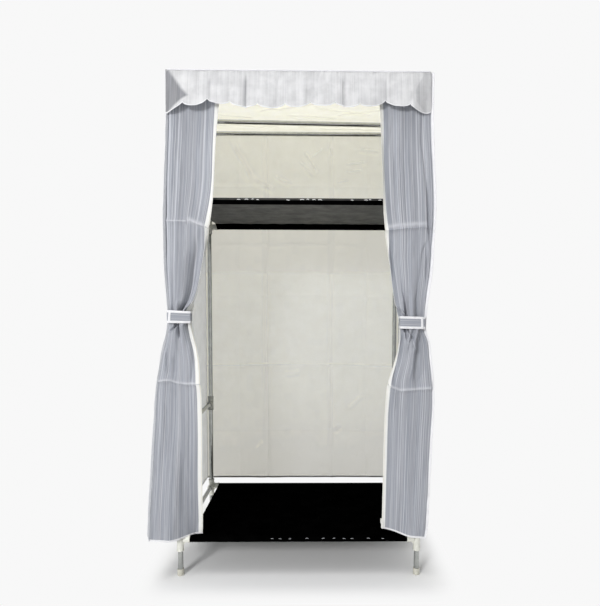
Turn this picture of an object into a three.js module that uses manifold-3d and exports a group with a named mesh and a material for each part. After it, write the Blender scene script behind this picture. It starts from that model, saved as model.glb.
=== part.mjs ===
// Portable fabric wardrobe: a frame of steel tubes in plastic fittings, two fabric shelves and a
// sewn cover whose front strips are tied back and whose door is rolled up behind a scalloped valance.
//
// Millimetres, +Z up, the front faces -Y. Inside this file places are measured from the point on the
// floor midway between the four posts; the last lines move that point so that the origin lies under
// the middle of the whole wardrobe.

import * as THREE from 'three';
import { mergeVertices } from 'three/addons/utils/BufferGeometryUtils.js';
import Module from 'manifold-3d';

const wasm = await Module();
wasm.setup();

// Driving dimensions of the frame, from tube centre to tube centre
const frameWidth = 723;
const frameDepth = 434;
const bottomRailHeight = 112;
const sideBarHeight = 443;
const shelfRailHeight = 1131;
const topRailHeight = 1487;
const crossRailLeftShare = 0.2327; // of the frame's depth, behind its middle
const crossRailRightShare = 0.2926;

// Tubes
const tubeDiameter = 16;
const tubeWall = 0.5;
const tubeRadius = tubeDiameter / 2;
const roundSides = 16;

// Plastic fittings
const fitClearance = 0.3;
const fittingWall = 2.7;
const socketWall = 1.5;
const armLength = 30;
const sleeveHalfLength = 27;
const bottomSleeveDrop = 36;
const teeHalfLength = 20;
const cutOverrun = 1;
const boreRadius = (tubeRadius + fitClearance) / Math.cos(Math.PI / roundSides);
const fittingRadius = boreRadius + fittingWall;
const socketStop = boreRadius + socketWall;
const tubeStart = socketStop + fitClearance;

// Foot caps
const capHeight = 20;
const capFloor = 3;
const capWall = 1.6;
const capChamfer = 1.2;

// Fabric
const clothThickness = 1.4;
const seamGap = 0.3;
const clothClearance = 2; // between the fittings and the cloth before and behind them
const wallClearance = 7.34; // between the fittings and the middle of a side wall's cloth
const coverHalfWidth = frameWidth / 2 + fittingRadius + wallClearance;
const hemHeight = 125; // of the front strips, at their outer corners
const wallHemHeight = 140; // of the side and back walls
const frontPlane = -(frameDepth / 2 + fittingRadius + clothClearance);
const backPlane = frameDepth / 2 + fittingRadius + clothClearance;
const roofUnderside = topRailHeight + fittingRadius + seamGap;
const wallTop = roofUnderside - seamGap;

// Front strips
const stripWidth = 150;
const stripForward = 26; // how far a strip's foot stands out in front of the posts
const stripInward = 24; // how far its inner edge curls in over the bottom shelf
const flareReach = 66; // how far the left strip's foot spreads past the side of the frame
const foldDepth = 21; // of the gathers under the tie band
const foldCount = 3;
const leftHemRise = 5;
const rightHemRise = 13;

// Tie bands
const bandWidth = 37;
const leftBandHeight = 789; // of its middle above the floor
const rightBandHeight = 775;
const bandThickness = 1.5;
const bandOverlap = 4; // past the gathered cloth on each side
const bandBow = 3; // how far its ends bend back round the cloth
const bandBendRoom = 0.5;

// Valance
const valanceDrop = 112;
const valanceForward = 19; // how far its lower edge stands out
const valanceOverhang = 3; // past the side walls
const valanceWave = 3;
const scallopWidth = 74.2;
const scallopDepth = 15;
const scallopOffset = 30; // of the cusp nearest the middle
const hingeClearance = 0.4;

// Rolled door
const doorSideGap = 4; // to the strips' top inner corners
const doorWidth = 2 * (coverHalfWidth - stripWidth - doorSideGap);
const rollRadius = 31;
const rollStep = 4; // the free edge of the cloth on the outside of the roll
const rollHang = 49; // from the roof to the middle of the roll
const rollSides = 28;

// Shelves
const shelfEndGap = 1;
const sleeveCloth = 1.3;
const sleeveSeam = 34; // from the rail's centre to the seam that closes the sleeve

// Zip slider and its pull
const sliderWidth = 9;
const sliderDepth = 7;
const sliderHeight = 13;
const slotWidth = 3;
const slotReach = 4.5;
const sliderLift = 24; // above the strip's inner hem corner
const lugRadius = 2.4;
const lugBore = 1.3;
const lugSetOff = 1.9; // from the slider's face to the pull's bar
const pullWidth = 6;
const pullLength = 25;
const pullThickness = 1.4;
const pullHoleWidth = 3;
const pullHoleLength = 5;

// Materials
const steel = new THREE.MeshStandardMaterial({ color: 0xc9ccce, roughness: 0.28, metalness: 0.9 });
const fittingPlastic = new THREE.MeshStandardMaterial({ color: 0xc4c3b8, roughness: 0.55, metalness: 0 });
const capPlastic = new THREE.MeshStandardMaterial({ color: 0xb9bcb4, roughness: 0.5, metalness: 0 });
const stripedCloth = new THREE.MeshStandardMaterial({ color: 0xa7adb8, roughness: 0.9, metalness: 0 });
const creamCloth = new THREE.MeshStandardMaterial({ color: 0xd8d8cc, roughness: 0.92, metalness: 0 });
const blackCloth = new THREE.MeshStandardMaterial({ color: 0x17171a, roughness: 0.95, metalness: 0 });
const whiteMetal = new THREE.MeshStandardMaterial({ color: 0xe8e8e4, roughness: 0.35, metalness: 0.2 });

const wardrobe = new THREE.Group();
const up = new THREE.Vector3(0, 0, 1);

function addPart(name, geometry, material, position = new THREE.Vector3()) {
  const mesh = new THREE.Mesh(geometry, material);
  mesh.name = name;
  mesh.position.copy(position);
  wardrobe.add(mesh);
  return mesh;
}

// Joining and cutting of closed meshes
function toSolid(geometry) {
  const bare = geometry.clone();
  bare.deleteAttribute('normal');
  bare.deleteAttribute('uv');
  const merged = mergeVertices(bare);
  const vertProperties = new Float32Array(merged.attributes.position.array);
  const triVerts = new Uint32Array(merged.index.array);
  return new wasm.Manifold(new wasm.Mesh({ numProp: 3, vertProperties, triVerts }));
}

function toGeometry(solid) {
  const mesh = solid.getMesh();
  const geometry = new THREE.BufferGeometry();
  geometry.setAttribute('position', new THREE.BufferAttribute(mesh.vertProperties, 3));
  geometry.setIndex(new THREE.BufferAttribute(mesh.triVerts, 1));
  geometry.computeVertexNormals();
  return geometry;
}

function boxSolid(width, depth, height, centre) {
  const box = new THREE.BoxGeometry(width, depth, height);
  box.translate(centre.x, centre.y, centre.z);
  return toSolid(box);
}

// A round bar along a direction, between two distances from the local origin
function rodSolid(direction, start, end, radius) {
  const rod = new THREE.CylinderGeometry(radius, radius, end - start, roundSides);
  rod.translate(0, (start + end) / 2, 0);
  rod.applyQuaternion(new THREE.Quaternion().setFromUnitVectors(new THREE.Vector3(0, 1, 0), direction));
  return toSolid(rod);
}

// Steel tubes
function tubeGeometry(length) {
  const ring = new THREE.Shape();
  ring.absarc(0, 0, tubeRadius, 0, 2 * Math.PI);
  const bore = new THREE.Path();
  bore.absarc(0, 0, tubeRadius - tubeWall, 0, 2 * Math.PI);
  ring.holes.push(bore);
  return new THREE.ExtrudeGeometry(ring, {
    depth: length,
    bevelEnabled: false,
    curveSegments: roundSides / 2,
  });
}

function addTube(name, from, to) {
  const run = to.clone().sub(from);
  const tube = addPart(name, tubeGeometry(run.length()), steel, from);
  tube.quaternion.setFromUnitVectors(up, run.normalize());
}

// A rail between two fittings, stopping short of each one's inner wall
function addRail(name, from, to) {
  const run = to.clone().sub(from).normalize();
  addTube(name, from.clone().addScaledVector(run, tubeStart), to.clone().addScaledVector(run, -tubeStart));
}

// Fittings: sleeves and sockets joined at one centre
// A socket is bored down to its stop; a sleeve is bored right through for a tube that passes.
function addFitting(name, centre, sockets, sleeve) {
  let body = sleeve
    ? rodSolid(sleeve.direction, -sleeve.back, sleeve.ahead, fittingRadius)
    : toSolid(new THREE.SphereGeometry(fittingRadius, roundSides, roundSides / 2));
  for (const { direction, length } of sockets) {
    body = body.add(rodSolid(direction, 0, length, fittingRadius));
  }
  if (sleeve) {
    const start = -sleeve.back - cutOverrun;
    const end = sleeve.ahead + cutOverrun;
    body = body.subtract(rodSolid(sleeve.direction, start, end, boreRadius));
  }
  for (const { direction, length } of sockets) {
    body = body.subtract(rodSolid(direction, socketStop, length + cutOverrun, boreRadius));
  }
  addPart(name, toGeometry(body), fittingPlastic, centre);
}

const corners = [
  { name: 'front_left', sideX: -1, sideY: -1 },
  { name: 'front_right', sideX: 1, sideY: -1 },
  { name: 'back_left', sideX: -1, sideY: 1 },
  { name: 'back_right', sideX: 1, sideY: 1 },
];
const down = up.clone().negate();
const right = new THREE.Vector3(1, 0, 0);
const back = new THREE.Vector3(0, 1, 0);

function cornerPoint(corner, height) {
  return new THREE.Vector3((corner.sideX * frameWidth) / 2, (corner.sideY * frameDepth) / 2, height);
}

function addCornerStack(corner) {
  const inwardX = right.clone().multiplyScalar(-corner.sideX);
  const inwardY = back.clone().multiplyScalar(-corner.sideY);
  const socketX = { direction: inwardX, length: armLength };
  const socketY = { direction: inwardY, length: armLength };
  const socketUp = { direction: up, length: sleeveHalfLength };
  const socketDown = { direction: down, length: sleeveHalfLength };
  const bottomSleeve = { direction: up, back: bottomSleeveDrop, ahead: sleeveHalfLength };
  const middleSleeve = { direction: up, back: sleeveHalfLength, ahead: sleeveHalfLength };

  addPart(`foot_cap_${corner.name}`, footCapGeometry(), capPlastic, cornerPoint(corner, 0));
  addTube(
    `post_${corner.name}`,
    cornerPoint(corner, capFloor + fitClearance),
    cornerPoint(corner, shelfRailHeight - tubeStart),
  );
  const bottom = cornerPoint(corner, bottomRailHeight);
  const middle = cornerPoint(corner, sideBarHeight);
  const shelf = cornerPoint(corner, shelfRailHeight);
  const top = cornerPoint(corner, topRailHeight);
  addFitting(`bottom_fitting_${corner.name}`, bottom, [socketX, socketY], bottomSleeve);
  addFitting(`side_bar_fitting_${corner.name}`, middle, [socketY], middleSleeve);
  addFitting(`shelf_fitting_${corner.name}`, shelf, [socketX, socketY, socketUp, socketDown]);
  addTube(
    `top_post_${corner.name}`,
    cornerPoint(corner, shelfRailHeight + tubeStart),
    cornerPoint(corner, topRailHeight - tubeStart),
  );
  addFitting(`top_fitting_${corner.name}`, top, [socketX, socketY, socketDown]);
}

function footCapGeometry() {
  const outer = boreRadius + capWall;
  const profile = [
    new THREE.Vector2(0, 0),
    new THREE.Vector2(outer - capChamfer, 0),
    new THREE.Vector2(outer, capChamfer),
    new THREE.Vector2(outer, capHeight),
    new THREE.Vector2(boreRadius, capHeight),
    new THREE.Vector2(boreRadius, capFloor),
    new THREE.Vector2(0, capFloor),
  ];
  const cap = new THREE.LatheGeometry(profile, roundSides);
  cap.rotateX(Math.PI / 2);
  return cap;
}

// Horizontal tubes
function addRails() {
  const [frontLeft, frontRight, backLeft, backRight] = corners;
  const levels = [
    { name: 'bottom', height: bottomRailHeight },
    { name: 'shelf', height: shelfRailHeight },
    { name: 'top', height: topRailHeight },
  ];
  for (const { name, height } of levels) {
    addRail(`${name}_rail_front`, cornerPoint(frontLeft, height), cornerPoint(frontRight, height));
    addRail(`${name}_rail_back`, cornerPoint(backLeft, height), cornerPoint(backRight, height));
  }
  const sideLevels = [...levels, { name: 'middle', height: sideBarHeight }];
  for (const { name, height } of sideLevels) {
    addRail(`${name}_rail_left`, cornerPoint(frontLeft, height), cornerPoint(backLeft, height));
    addRail(`${name}_rail_right`, cornerPoint(frontRight, height), cornerPoint(backRight, height));
  }
}

// The cross rail hangs between two tees that slide on the top side rails
function addCrossRail() {
  const leftDepth = crossRailLeftShare * frameDepth;
  const rightDepth = crossRailRightShare * frameDepth;
  const leftEnd = new THREE.Vector3(-frameWidth / 2, leftDepth, topRailHeight);
  const rightEnd = new THREE.Vector3(frameWidth / 2, rightDepth, topRailHeight);
  const run = rightEnd.clone().sub(leftEnd).normalize();
  const sleeve = { direction: back, back: teeHalfLength, ahead: teeHalfLength };
  const leftSocket = { direction: run, length: armLength };
  const rightSocket = { direction: run.clone().negate(), length: armLength };
  addFitting('cross_rail_tee_left', leftEnd, [leftSocket], sleeve);
  addFitting('cross_rail_tee_right', rightEnd, [rightSocket], sleeve);
  addRail('cross_rail', leftEnd, rightEnd);
}

// Shelves: one flat cloth with a sewn sleeve round the front and the back rail
function shelfGeometry() {
  const underside = boreRadius;
  const outer = underside + sleeveCloth;
  const half = frameDepth / 2;
  const seam = half - sleeveSeam;
  const outline = new THREE.Shape();
  outline.absarc(half, 0, outer, Math.PI / 2, -Math.PI / 2, true);
  outline.lineTo(seam, underside);
  outline.lineTo(-seam, underside);
  outline.lineTo(-half, -outer);
  outline.absarc(-half, 0, outer, -Math.PI / 2, Math.PI / 2, true);
  outline.closePath();
  for (const side of [1, -1]) {
    const bore = new THREE.Path();
    bore.absarc(side * half, 0, boreRadius, 0, 2 * Math.PI);
    outline.holes.push(bore);
  }
  const length = frameWidth - 2 * (armLength + shelfEndGap);
  const shelf = new THREE.ExtrudeGeometry(outline, {
    depth: length,
    bevelEnabled: false,
    curveSegments: roundSides / 2,
  });
  shelf.translate(0, 0, -length / 2);
  // The outline's x becomes depth and its y becomes height
  shelf.rotateX(Math.PI / 2);
  shelf.rotateZ(Math.PI / 2);
  return shelf;
}

function addShelves() {
  addPart('upper_shelf', shelfGeometry(), blackCloth, new THREE.Vector3(0, 0, shelfRailHeight));
  addPart('lower_shelf', shelfGeometry(), blackCloth, new THREE.Vector3(0, 0, bottomRailHeight));
}

// Cloth sheets: a grid of points given the cloth's thickness along one direction
function sheetGeometry(columns, rows, pointAt, thickness, offsetDirection) {
  const positions = [];
  for (const side of [-1, 1]) {
    for (let row = 0; row <= rows; row++) {
      for (let column = 0; column <= columns; column++) {
        const point = pointAt(column / columns, row / rows);
        point.addScaledVector(offsetDirection, (side * thickness) / 2);
        positions.push(point.x, point.y, point.z);
      }
    }
  }
  const stride = columns + 1;
  const layer = stride * (rows + 1);
  const faces = [];
  const quad = (a, b, c, d) => faces.push(a, b, c, a, c, d);
  for (let row = 0; row < rows; row++) {
    for (let column = 0; column < columns; column++) {
      const at = row * stride + column;
      quad(at, at + 1, at + stride + 1, at + stride);
      quad(layer + at, layer + at + stride, layer + at + stride + 1, layer + at + 1);
    }
  }
  for (let column = 0; column < columns; column++) {
    const top = rows * stride + column;
    quad(column + 1, column, layer + column, layer + column + 1);
    quad(top, top + 1, layer + top + 1, layer + top);
  }
  for (let row = 0; row < rows; row++) {
    const start = row * stride;
    const end = start + columns;
    quad(start, start + stride, layer + start + stride, layer + start);
    quad(end + stride, end, layer + end, layer + end + stride);
  }
  return closedGeometry(positions, faces);
}

// Faces are turned round if the mesh came out inside out
function closedGeometry(positions, faces) {
  const corner = (index) => new THREE.Vector3().fromArray(positions, 3 * index);
  let volume = 0;
  for (let i = 0; i < faces.length; i += 3) {
    volume += corner(faces[i]).dot(corner(faces[i + 1]).cross(corner(faces[i + 2])));
  }
  const geometry = new THREE.BufferGeometry();
  geometry.setAttribute('position', new THREE.Float32BufferAttribute(positions, 3));
  geometry.setIndex(volume > 0 ? faces : faces.reverse());
  geometry.computeVertexNormals();
  return geometry;
}

// Stations up a front strip, from its hem to its top. height is a share of the strip's height. outer is
// the outer edge's distance past the side wall as a share of the flare, inner the inner edge's distance
// from the side wall as a share of the strip's width. forward and inward are shares of how far the foot
// stands out and curls in, and folds is a share of the gathers' depth.
const leftStationShares = [
  { height: 0, outer: 1, inner: 0.56, forward: 1, inward: 1, folds: 0 },
  { height: 0.13, outer: 0.87, inner: 0.575, forward: 0.7, inward: 0.55, folds: 0.06 },
  { height: 0.27, outer: 0.68, inner: 0.6, forward: 0.4, inward: 0.1, folds: 0.12 },
  { height: 0.365, outer: 0.46, inner: 0.575, forward: 0.2, inward: 0, folds: 0.24 },
  { height: 0.42, outer: 0.26, inner: 0.51, forward: 0.1, inward: 0, folds: 0.55 },
  { height: 0.468, outer: 0.1, inner: 0.42, forward: 0, inward: 0, folds: 1 },
  { height: 0.495, outer: 0.1, inner: 0.41, forward: 0, inward: 0, folds: 1 },
  { height: 0.535, outer: 0.2, inner: 0.5, forward: 0, inward: 0, folds: 0.6 },
  { height: 0.61, outer: 0.3, inner: 0.67, forward: 0, inward: 0, folds: 0.3 },
  { height: 0.735, outer: 0.22, inner: 0.86, forward: 0, inward: 0, folds: 0.16 },
  { height: 0.86, outer: 0.1, inner: 0.94, forward: 0, inward: 0, folds: 0.12 },
  { height: 1, outer: 0.06, inner: 1, forward: 0, inward: 0, folds: 0 },
];
const rightStationShares = [
  { height: 0, outer: 0.1, inner: 0.83, forward: 0.5, inward: 1, folds: 0 },
  { height: 0.13, outer: 0.17, inner: 0.82, forward: 0.25, inward: 0.58, folds: 0.06 },
  { height: 0.27, outer: 0.24, inner: 0.81, forward: 0.1, inward: 0.14, folds: 0.12 },
  { height: 0.335, outer: 0.24, inner: 0.76, forward: 0, inward: 0, folds: 0.2 },
  { height: 0.4, outer: 0.13, inner: 0.62, forward: 0, inward: 0, folds: 0.5 },
  { height: 0.468, outer: -0.05, inner: 0.53, forward: 0, inward: 0, folds: 1 },
  { height: 0.495, outer: -0.05, inner: 0.53, forward: 0, inward: 0, folds: 1 },
  { height: 0.55, outer: 0.1, inner: 0.66, forward: 0, inward: 0, folds: 0.6 },
  { height: 0.63, outer: 0.15, inner: 0.79, forward: 0, inward: 0, folds: 0.3 },
  { height: 0.735, outer: 0.2, inner: 0.88, forward: 0, inward: 0, folds: 0.16 },
  { height: 0.86, outer: 0.16, inner: 0.93, forward: 0, inward: 0, folds: 0.12 },
  { height: 1, outer: 0.1, inner: 0.98, forward: 0, inward: 0, folds: 0 },
];

// A value between two stations, on a cubic whose slopes come from the neighbouring stations
function stationValue(stations, key, height) {
  let next = stations.findIndex((station) => station.height >= height);
  next = Math.max(next, 1);
  const slopeAt = (index) => {
    const before = stations[Math.max(index - 1, 0)];
    const after = stations[Math.min(index + 1, stations.length - 1)];
    return (after[key] - before[key]) / (after.height - before.height);
  };
  const a = stations[next - 1];
  const b = stations[next];
  const span = b.height - a.height;
  const t = (height - a.height) / span;
  const rise = t * t * (3 - 2 * t);
  const startPull = t * (1 - t) * (1 - t);
  const endPull = t * t * (t - 1);
  const bend = span * (slopeAt(next - 1) * startPull + slopeAt(next) * endPull);
  return a[key] + (b[key] - a[key]) * rise + bend;
}

const smoothstep = (value, from, to) => THREE.MathUtils.smoothstep(value, from, to);
const curlStartShare = 0.35;
const curlEndShare = 0.9;

// The strip on one side: side is -1 on the left and 1 on the right
function makeStrip(side, stations, hemRise) {
  const height = wallTop - hemHeight;
  const seamAt = (heightShare) => {
    const outer = stationValue(stations, 'outer', heightShare);
    return {
      x: side * (coverHalfWidth + outer * flareReach),
      y: frontPlane - stationValue(stations, 'forward', heightShare) * stripForward,
    };
  };
  const pointAt = (across, heightShare) => {
    const seam = seamAt(heightShare);
    const inner = side * (coverHalfWidth - stationValue(stations, 'inner', heightShare) * stripWidth);
    const curl = smoothstep(across, curlStartShare, curlEndShare);
    const innerPlane = frontPlane + stationValue(stations, 'inward', heightShare) * stripInward;
    const gather = (1 - Math.cos(2 * Math.PI * foldCount * across)) / 2;
    const folds = stationValue(stations, 'folds', heightShare) * foldDepth * gather;
    return new THREE.Vector3(
      THREE.MathUtils.lerp(seam.x, inner, across),
      THREE.MathUtils.lerp(seam.y, innerPlane, curl) - folds,
      hemHeight + hemRise * curl * (1 - heightShare) + heightShare * height,
    );
  };
  return { side, height, seamAt, pointAt };
}

const leftStrip = makeStrip(-1, leftStationShares, leftHemRise);
const rightStrip = makeStrip(1, rightStationShares, rightHemRise);
const stripColumns = 18;
const stripRows = 27;

function addStrips() {
  const left = sheetGeometry(stripColumns, stripRows, leftStrip.pointAt, clothThickness, back);
  const rightSheet = sheetGeometry(stripColumns, stripRows, rightStrip.pointAt, clothThickness, back);
  addPart('front_strip_left', left, stripedCloth);
  addPart('front_strip_right', rightSheet, stripedCloth);
}

// Side walls: each starts at its strip's outer edge and runs to the back wall
const wallColumns = 6;
const wallRows = 16;
const wallFadeShare = 0.8;

function sideWallGeometry(strip) {
  const backEdge = backPlane - clothThickness / 2 - seamGap;
  const hemShare = (wallHemHeight - hemHeight) / strip.height;
  const pointAt = (along, rise) => {
    const heightShare = THREE.MathUtils.lerp(hemShare, 1, rise);
    const seam = strip.seamAt(heightShare);
    const frontEdge = seam.y + clothThickness / 2 + seamGap;
    const fade = smoothstep(along, 0, wallFadeShare);
    const outerFace = THREE.MathUtils.lerp(seam.x, strip.side * coverHalfWidth, fade);
    return new THREE.Vector3(
      outerFace - (strip.side * clothThickness) / 2,
      THREE.MathUtils.lerp(frontEdge, backEdge, along),
      hemHeight + heightShare * strip.height,
    );
  };
  return sheetGeometry(wallColumns, wallRows, pointAt, clothThickness, right);
}

function addWalls() {
  addPart('side_wall_left', sideWallGeometry(leftStrip), stripedCloth);
  addPart('side_wall_right', sideWallGeometry(rightStrip), stripedCloth);
  const backHeight = wallTop - wallHemHeight;
  const backWall = new THREE.BoxGeometry(2 * coverHalfWidth, clothThickness, backHeight);
  const backCentre = new THREE.Vector3(0, backPlane, wallHemHeight + backHeight / 2);
  addPart('back_wall', backWall, creamCloth, backCentre);
  const roofFront = frontPlane - valanceSetback();
  const roofBack = backPlane + clothThickness;
  const roofWidth = 2 * (coverHalfWidth + clothThickness);
  const roof = new THREE.BoxGeometry(roofWidth, roofBack - roofFront, clothThickness);
  const roofCentre = new THREE.Vector3(0, (roofFront + roofBack) / 2, roofUnderside + clothThickness / 2);
  addPart('roof', roof, creamCloth, roofCentre);
}

// How far the roof reaches past the middle of the strips' cloth, to the valance
function valanceSetback() {
  return clothThickness / 2 + valanceWave;
}

// Valance: hangs from the roof's front edge, leans out and ends in scallops
const valanceColumns = 66;
const valanceRows = 3;
const valanceHinge = new THREE.Vector3(
  0,
  frontPlane - valanceSetback() - clothThickness / 2 - hingeClearance,
  roofUnderside + clothThickness / 2,
);
const waveShares = [2.5, 6.2];

function addValance() {
  const halfWidth = coverHalfWidth + valanceOverhang;
  const pointAt = (across, fall) => {
    const x = THREE.MathUtils.lerp(-halfWidth, halfWidth, across);
    const lobe = Math.abs(Math.sin((Math.PI * (x - scallopOffset)) / scallopWidth));
    const drop = valanceDrop - scallopDepth * (1 - lobe);
    const wave = waveShares.reduce((sum, share) => sum + Math.sin(2 * Math.PI * share * across), 0);
    return new THREE.Vector3(
      x,
      valanceHinge.y - valanceForward * fall - (valanceWave * wave * fall) / waveShares.length,
      valanceHinge.z - drop * fall,
    );
  };
  const sheet = sheetGeometry(valanceColumns, valanceRows, pointAt, clothThickness, back);
  addPart('valance', sheet, stripedCloth);
}

// Rolled door: a roll behind the valance that hangs by the door's top end from the roof's front edge
function addDoorRoll() {
  const clothFront = -clothThickness / 2;
  const roll = new THREE.Vector2(clothFront + rollRadius, roofUnderside - rollHang);
  const outline = new THREE.Shape();
  outline.moveTo(clothFront, wallTop);
  for (let side = 0; side <= rollSides; side++) {
    const turn = side / rollSides;
    const angle = Math.PI + 2 * Math.PI * turn;
    const radius = rollRadius - rollStep * turn;
    outline.lineTo(roll.x + radius * Math.cos(angle), roll.y + radius * Math.sin(angle));
  }
  outline.lineTo(clothFront + clothThickness, roll.y + rollStep);
  outline.lineTo(clothFront + clothThickness, wallTop);
  outline.closePath();
  const door = new THREE.ExtrudeGeometry(outline, { depth: doorWidth, bevelEnabled: false });
  door.translate(0, 0, -doorWidth / 2);
  door.rotateX(Math.PI / 2);
  door.rotateZ(Math.PI / 2);
  addPart('rolled_door', door, stripedCloth, new THREE.Vector3(0, frontPlane, 0));
}

// Tie bands: the loose end of each lies across the gathered strip and folds back round its inner edge
const bandBendPower = 6;
const bandColumns = 8;

function addTieBand(name, strip, bandHeight) {
  const heightShare = (bandHeight - hemHeight) / strip.height;
  const outerX = strip.pointAt(0, heightShare).x + strip.side * bandOverlap;
  const innerX = strip.pointAt(1, heightShare).x - strip.side * bandOverlap;
  let crest = frontPlane;
  for (let column = 0; column <= stripColumns; column++) {
    crest = Math.min(crest, strip.pointAt(column / stripColumns, heightShare).y);
  }
  const face = crest - clothThickness / 2 - bandBendRoom;
  const pointAt = (across, rise) => new THREE.Vector3(
    THREE.MathUtils.lerp(outerX, innerX, across),
    face - bandThickness / 2 + bandBow * Math.abs(2 * across - 1) ** bandBendPower,
    bandHeight + bandWidth * (rise - 1 / 2),
  );
  addPart(name, sheetGeometry(bandColumns, 1, pointAt, bandThickness, back), stripedCloth);
}

// Zip slider on the right strip's inner edge. Its lug holds the bar at the top of the pull.
function sliderGeometry() {
  const slider = boxSolid(sliderWidth, sliderDepth, sliderHeight, new THREE.Vector3());
  const slotCentre = new THREE.Vector3(sliderWidth / 2, 0, 0);
  const slot = boxSolid(2 * slotReach, slotWidth, sliderHeight + 2 * cutOverrun, slotCentre);
  const lugWidth = pullHoleWidth - 2 * fitClearance;
  const axis = new THREE.Vector3(0, -sliderDepth / 2 - lugSetOff, sliderHeight / 2 - lugRadius);
  const neckCentre = new THREE.Vector3(0, axis.y / 2, axis.z);
  const neck = boxSolid(lugWidth, -axis.y, 2 * lugRadius, neckCentre);
  const eye = rodSolid(right, -lugWidth / 2, lugWidth / 2, lugRadius).translate(axis.toArray());
  const bore = rodSolid(right, -lugWidth, lugWidth, lugBore).translate(axis.toArray());
  const body = slider.subtract(slot).add(neck.subtract(slot)).add(eye).subtract(bore);
  return { geometry: toGeometry(body), axis };
}

function pullGeometry() {
  const half = pullWidth / 2;
  const bar = pullThickness / 2;
  const outline = new THREE.Shape();
  outline.moveTo(-half, bar);
  outline.lineTo(-half, half - pullLength);
  outline.absarc(0, half - pullLength, half, Math.PI, 2 * Math.PI);
  outline.lineTo(half, bar);
  outline.closePath();
  const hole = new THREE.Path();
  hole.moveTo(-pullHoleWidth / 2, -bar);
  hole.lineTo(pullHoleWidth / 2, -bar);
  hole.lineTo(pullHoleWidth / 2, -bar - pullHoleLength);
  hole.lineTo(-pullHoleWidth / 2, -bar - pullHoleLength);
  hole.closePath();
  outline.holes.push(hole);
  const pull = new THREE.ExtrudeGeometry(outline, {
    depth: pullThickness,
    bevelEnabled: false,
    curveSegments: roundSides / 4,
  });
  pull.translate(0, 0, -pullThickness / 2);
  pull.rotateX(Math.PI / 2);
  return pull;
}

function addZip() {
  const edge = rightStrip.pointAt(1, sliderLift / rightStrip.height);
  const slider = sliderGeometry();
  const centre = new THREE.Vector3(edge.x + slotReach - sliderWidth / 2 - fitClearance, edge.y, edge.z);
  addPart('zip_slider', slider.geometry, whiteMetal, centre);
  addPart('zip_pull', pullGeometry(), whiteMetal, centre.clone().add(slider.axis));
}

corners.forEach(addCornerStack);
addRails();
addCrossRail();
addShelves();
addStrips();
addWalls();
addValance();
addDoorRoll();
addTieBand('tie_band_left', leftStrip, leftBandHeight);
addTieBand('tie_band_right', rightStrip, rightBandHeight);
addZip();

// The origin goes under the middle of the whole wardrobe
const bounds = new THREE.Box3().setFromObject(wardrobe, true);
const middle = bounds.getCenter(new THREE.Vector3());
wardrobe.position.set(-middle.x, -middle.y, 0);

export default wardrobe;
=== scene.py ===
import math

import bpy
import numpy as np
from mathutils import Matrix, Vector


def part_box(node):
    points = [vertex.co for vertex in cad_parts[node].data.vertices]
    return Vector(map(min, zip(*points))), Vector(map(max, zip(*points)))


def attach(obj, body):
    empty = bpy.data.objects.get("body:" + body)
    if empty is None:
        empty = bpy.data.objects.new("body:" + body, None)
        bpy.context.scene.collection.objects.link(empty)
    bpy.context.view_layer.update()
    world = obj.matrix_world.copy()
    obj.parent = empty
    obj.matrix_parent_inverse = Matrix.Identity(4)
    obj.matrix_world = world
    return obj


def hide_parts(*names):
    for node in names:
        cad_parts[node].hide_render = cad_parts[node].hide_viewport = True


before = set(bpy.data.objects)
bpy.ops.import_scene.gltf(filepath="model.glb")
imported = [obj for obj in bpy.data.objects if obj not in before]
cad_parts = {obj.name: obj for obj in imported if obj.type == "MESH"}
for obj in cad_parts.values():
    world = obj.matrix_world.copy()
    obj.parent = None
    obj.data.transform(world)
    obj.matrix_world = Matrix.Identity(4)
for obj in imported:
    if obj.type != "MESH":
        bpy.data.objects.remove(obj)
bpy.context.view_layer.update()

# All shapes below are in millimetres from the middle of the tube frame, on the floor.
MM = 0.001
post_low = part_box("post_front_left")[0]
post_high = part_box("post_back_right")[1]
MIDDLE = np.array([(post_low.x + post_high.x) / 2, (post_low.y + post_high.y) / 2, 0.0])

HALF_WIDTH = 361.5  # to the middle of the posts
HALF_DEPTH = 217.0
BOTTOM_RAIL = 112.0
SIDE_BAR = 443.0
SHELF_RAIL = 1131.0
TOP_RAIL = 1487.0
TUBE_RADIUS = 8.0
TUBE_WALL = 0.5
BORE_RADIUS = 8.3
FRONT_PLANE = -230.16
BACK_PLANE = 230.16
COVER_HALF_WIDTH = 380.0
WALL_TOP = 1498.2
WALL_HEM = 140.0
STRIP_TOP = 1498.0
ROOF_HEIGHT = 1499.16
CLOTH = 0.6  # thickness of the cloth
ROOT_BODY = "frame_and_cover"


def place(points):
    return np.asarray(points, dtype=float) * MM + MIDDLE


# ---------------------------------------------------------------- materials


def tone(red, green, blue):
    """A colour as it is seen on the screen, 0 to 255, turned into a linear one."""
    parts = [c / 255 for c in (red, green, blue)]
    return tuple(c / 12.92 if c <= 0.04045 else ((c + 0.055) / 1.055) ** 2.4 for c in parts) + (1.0,)


def tones(colours):
    return [tone(*colour) for colour in colours]


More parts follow.
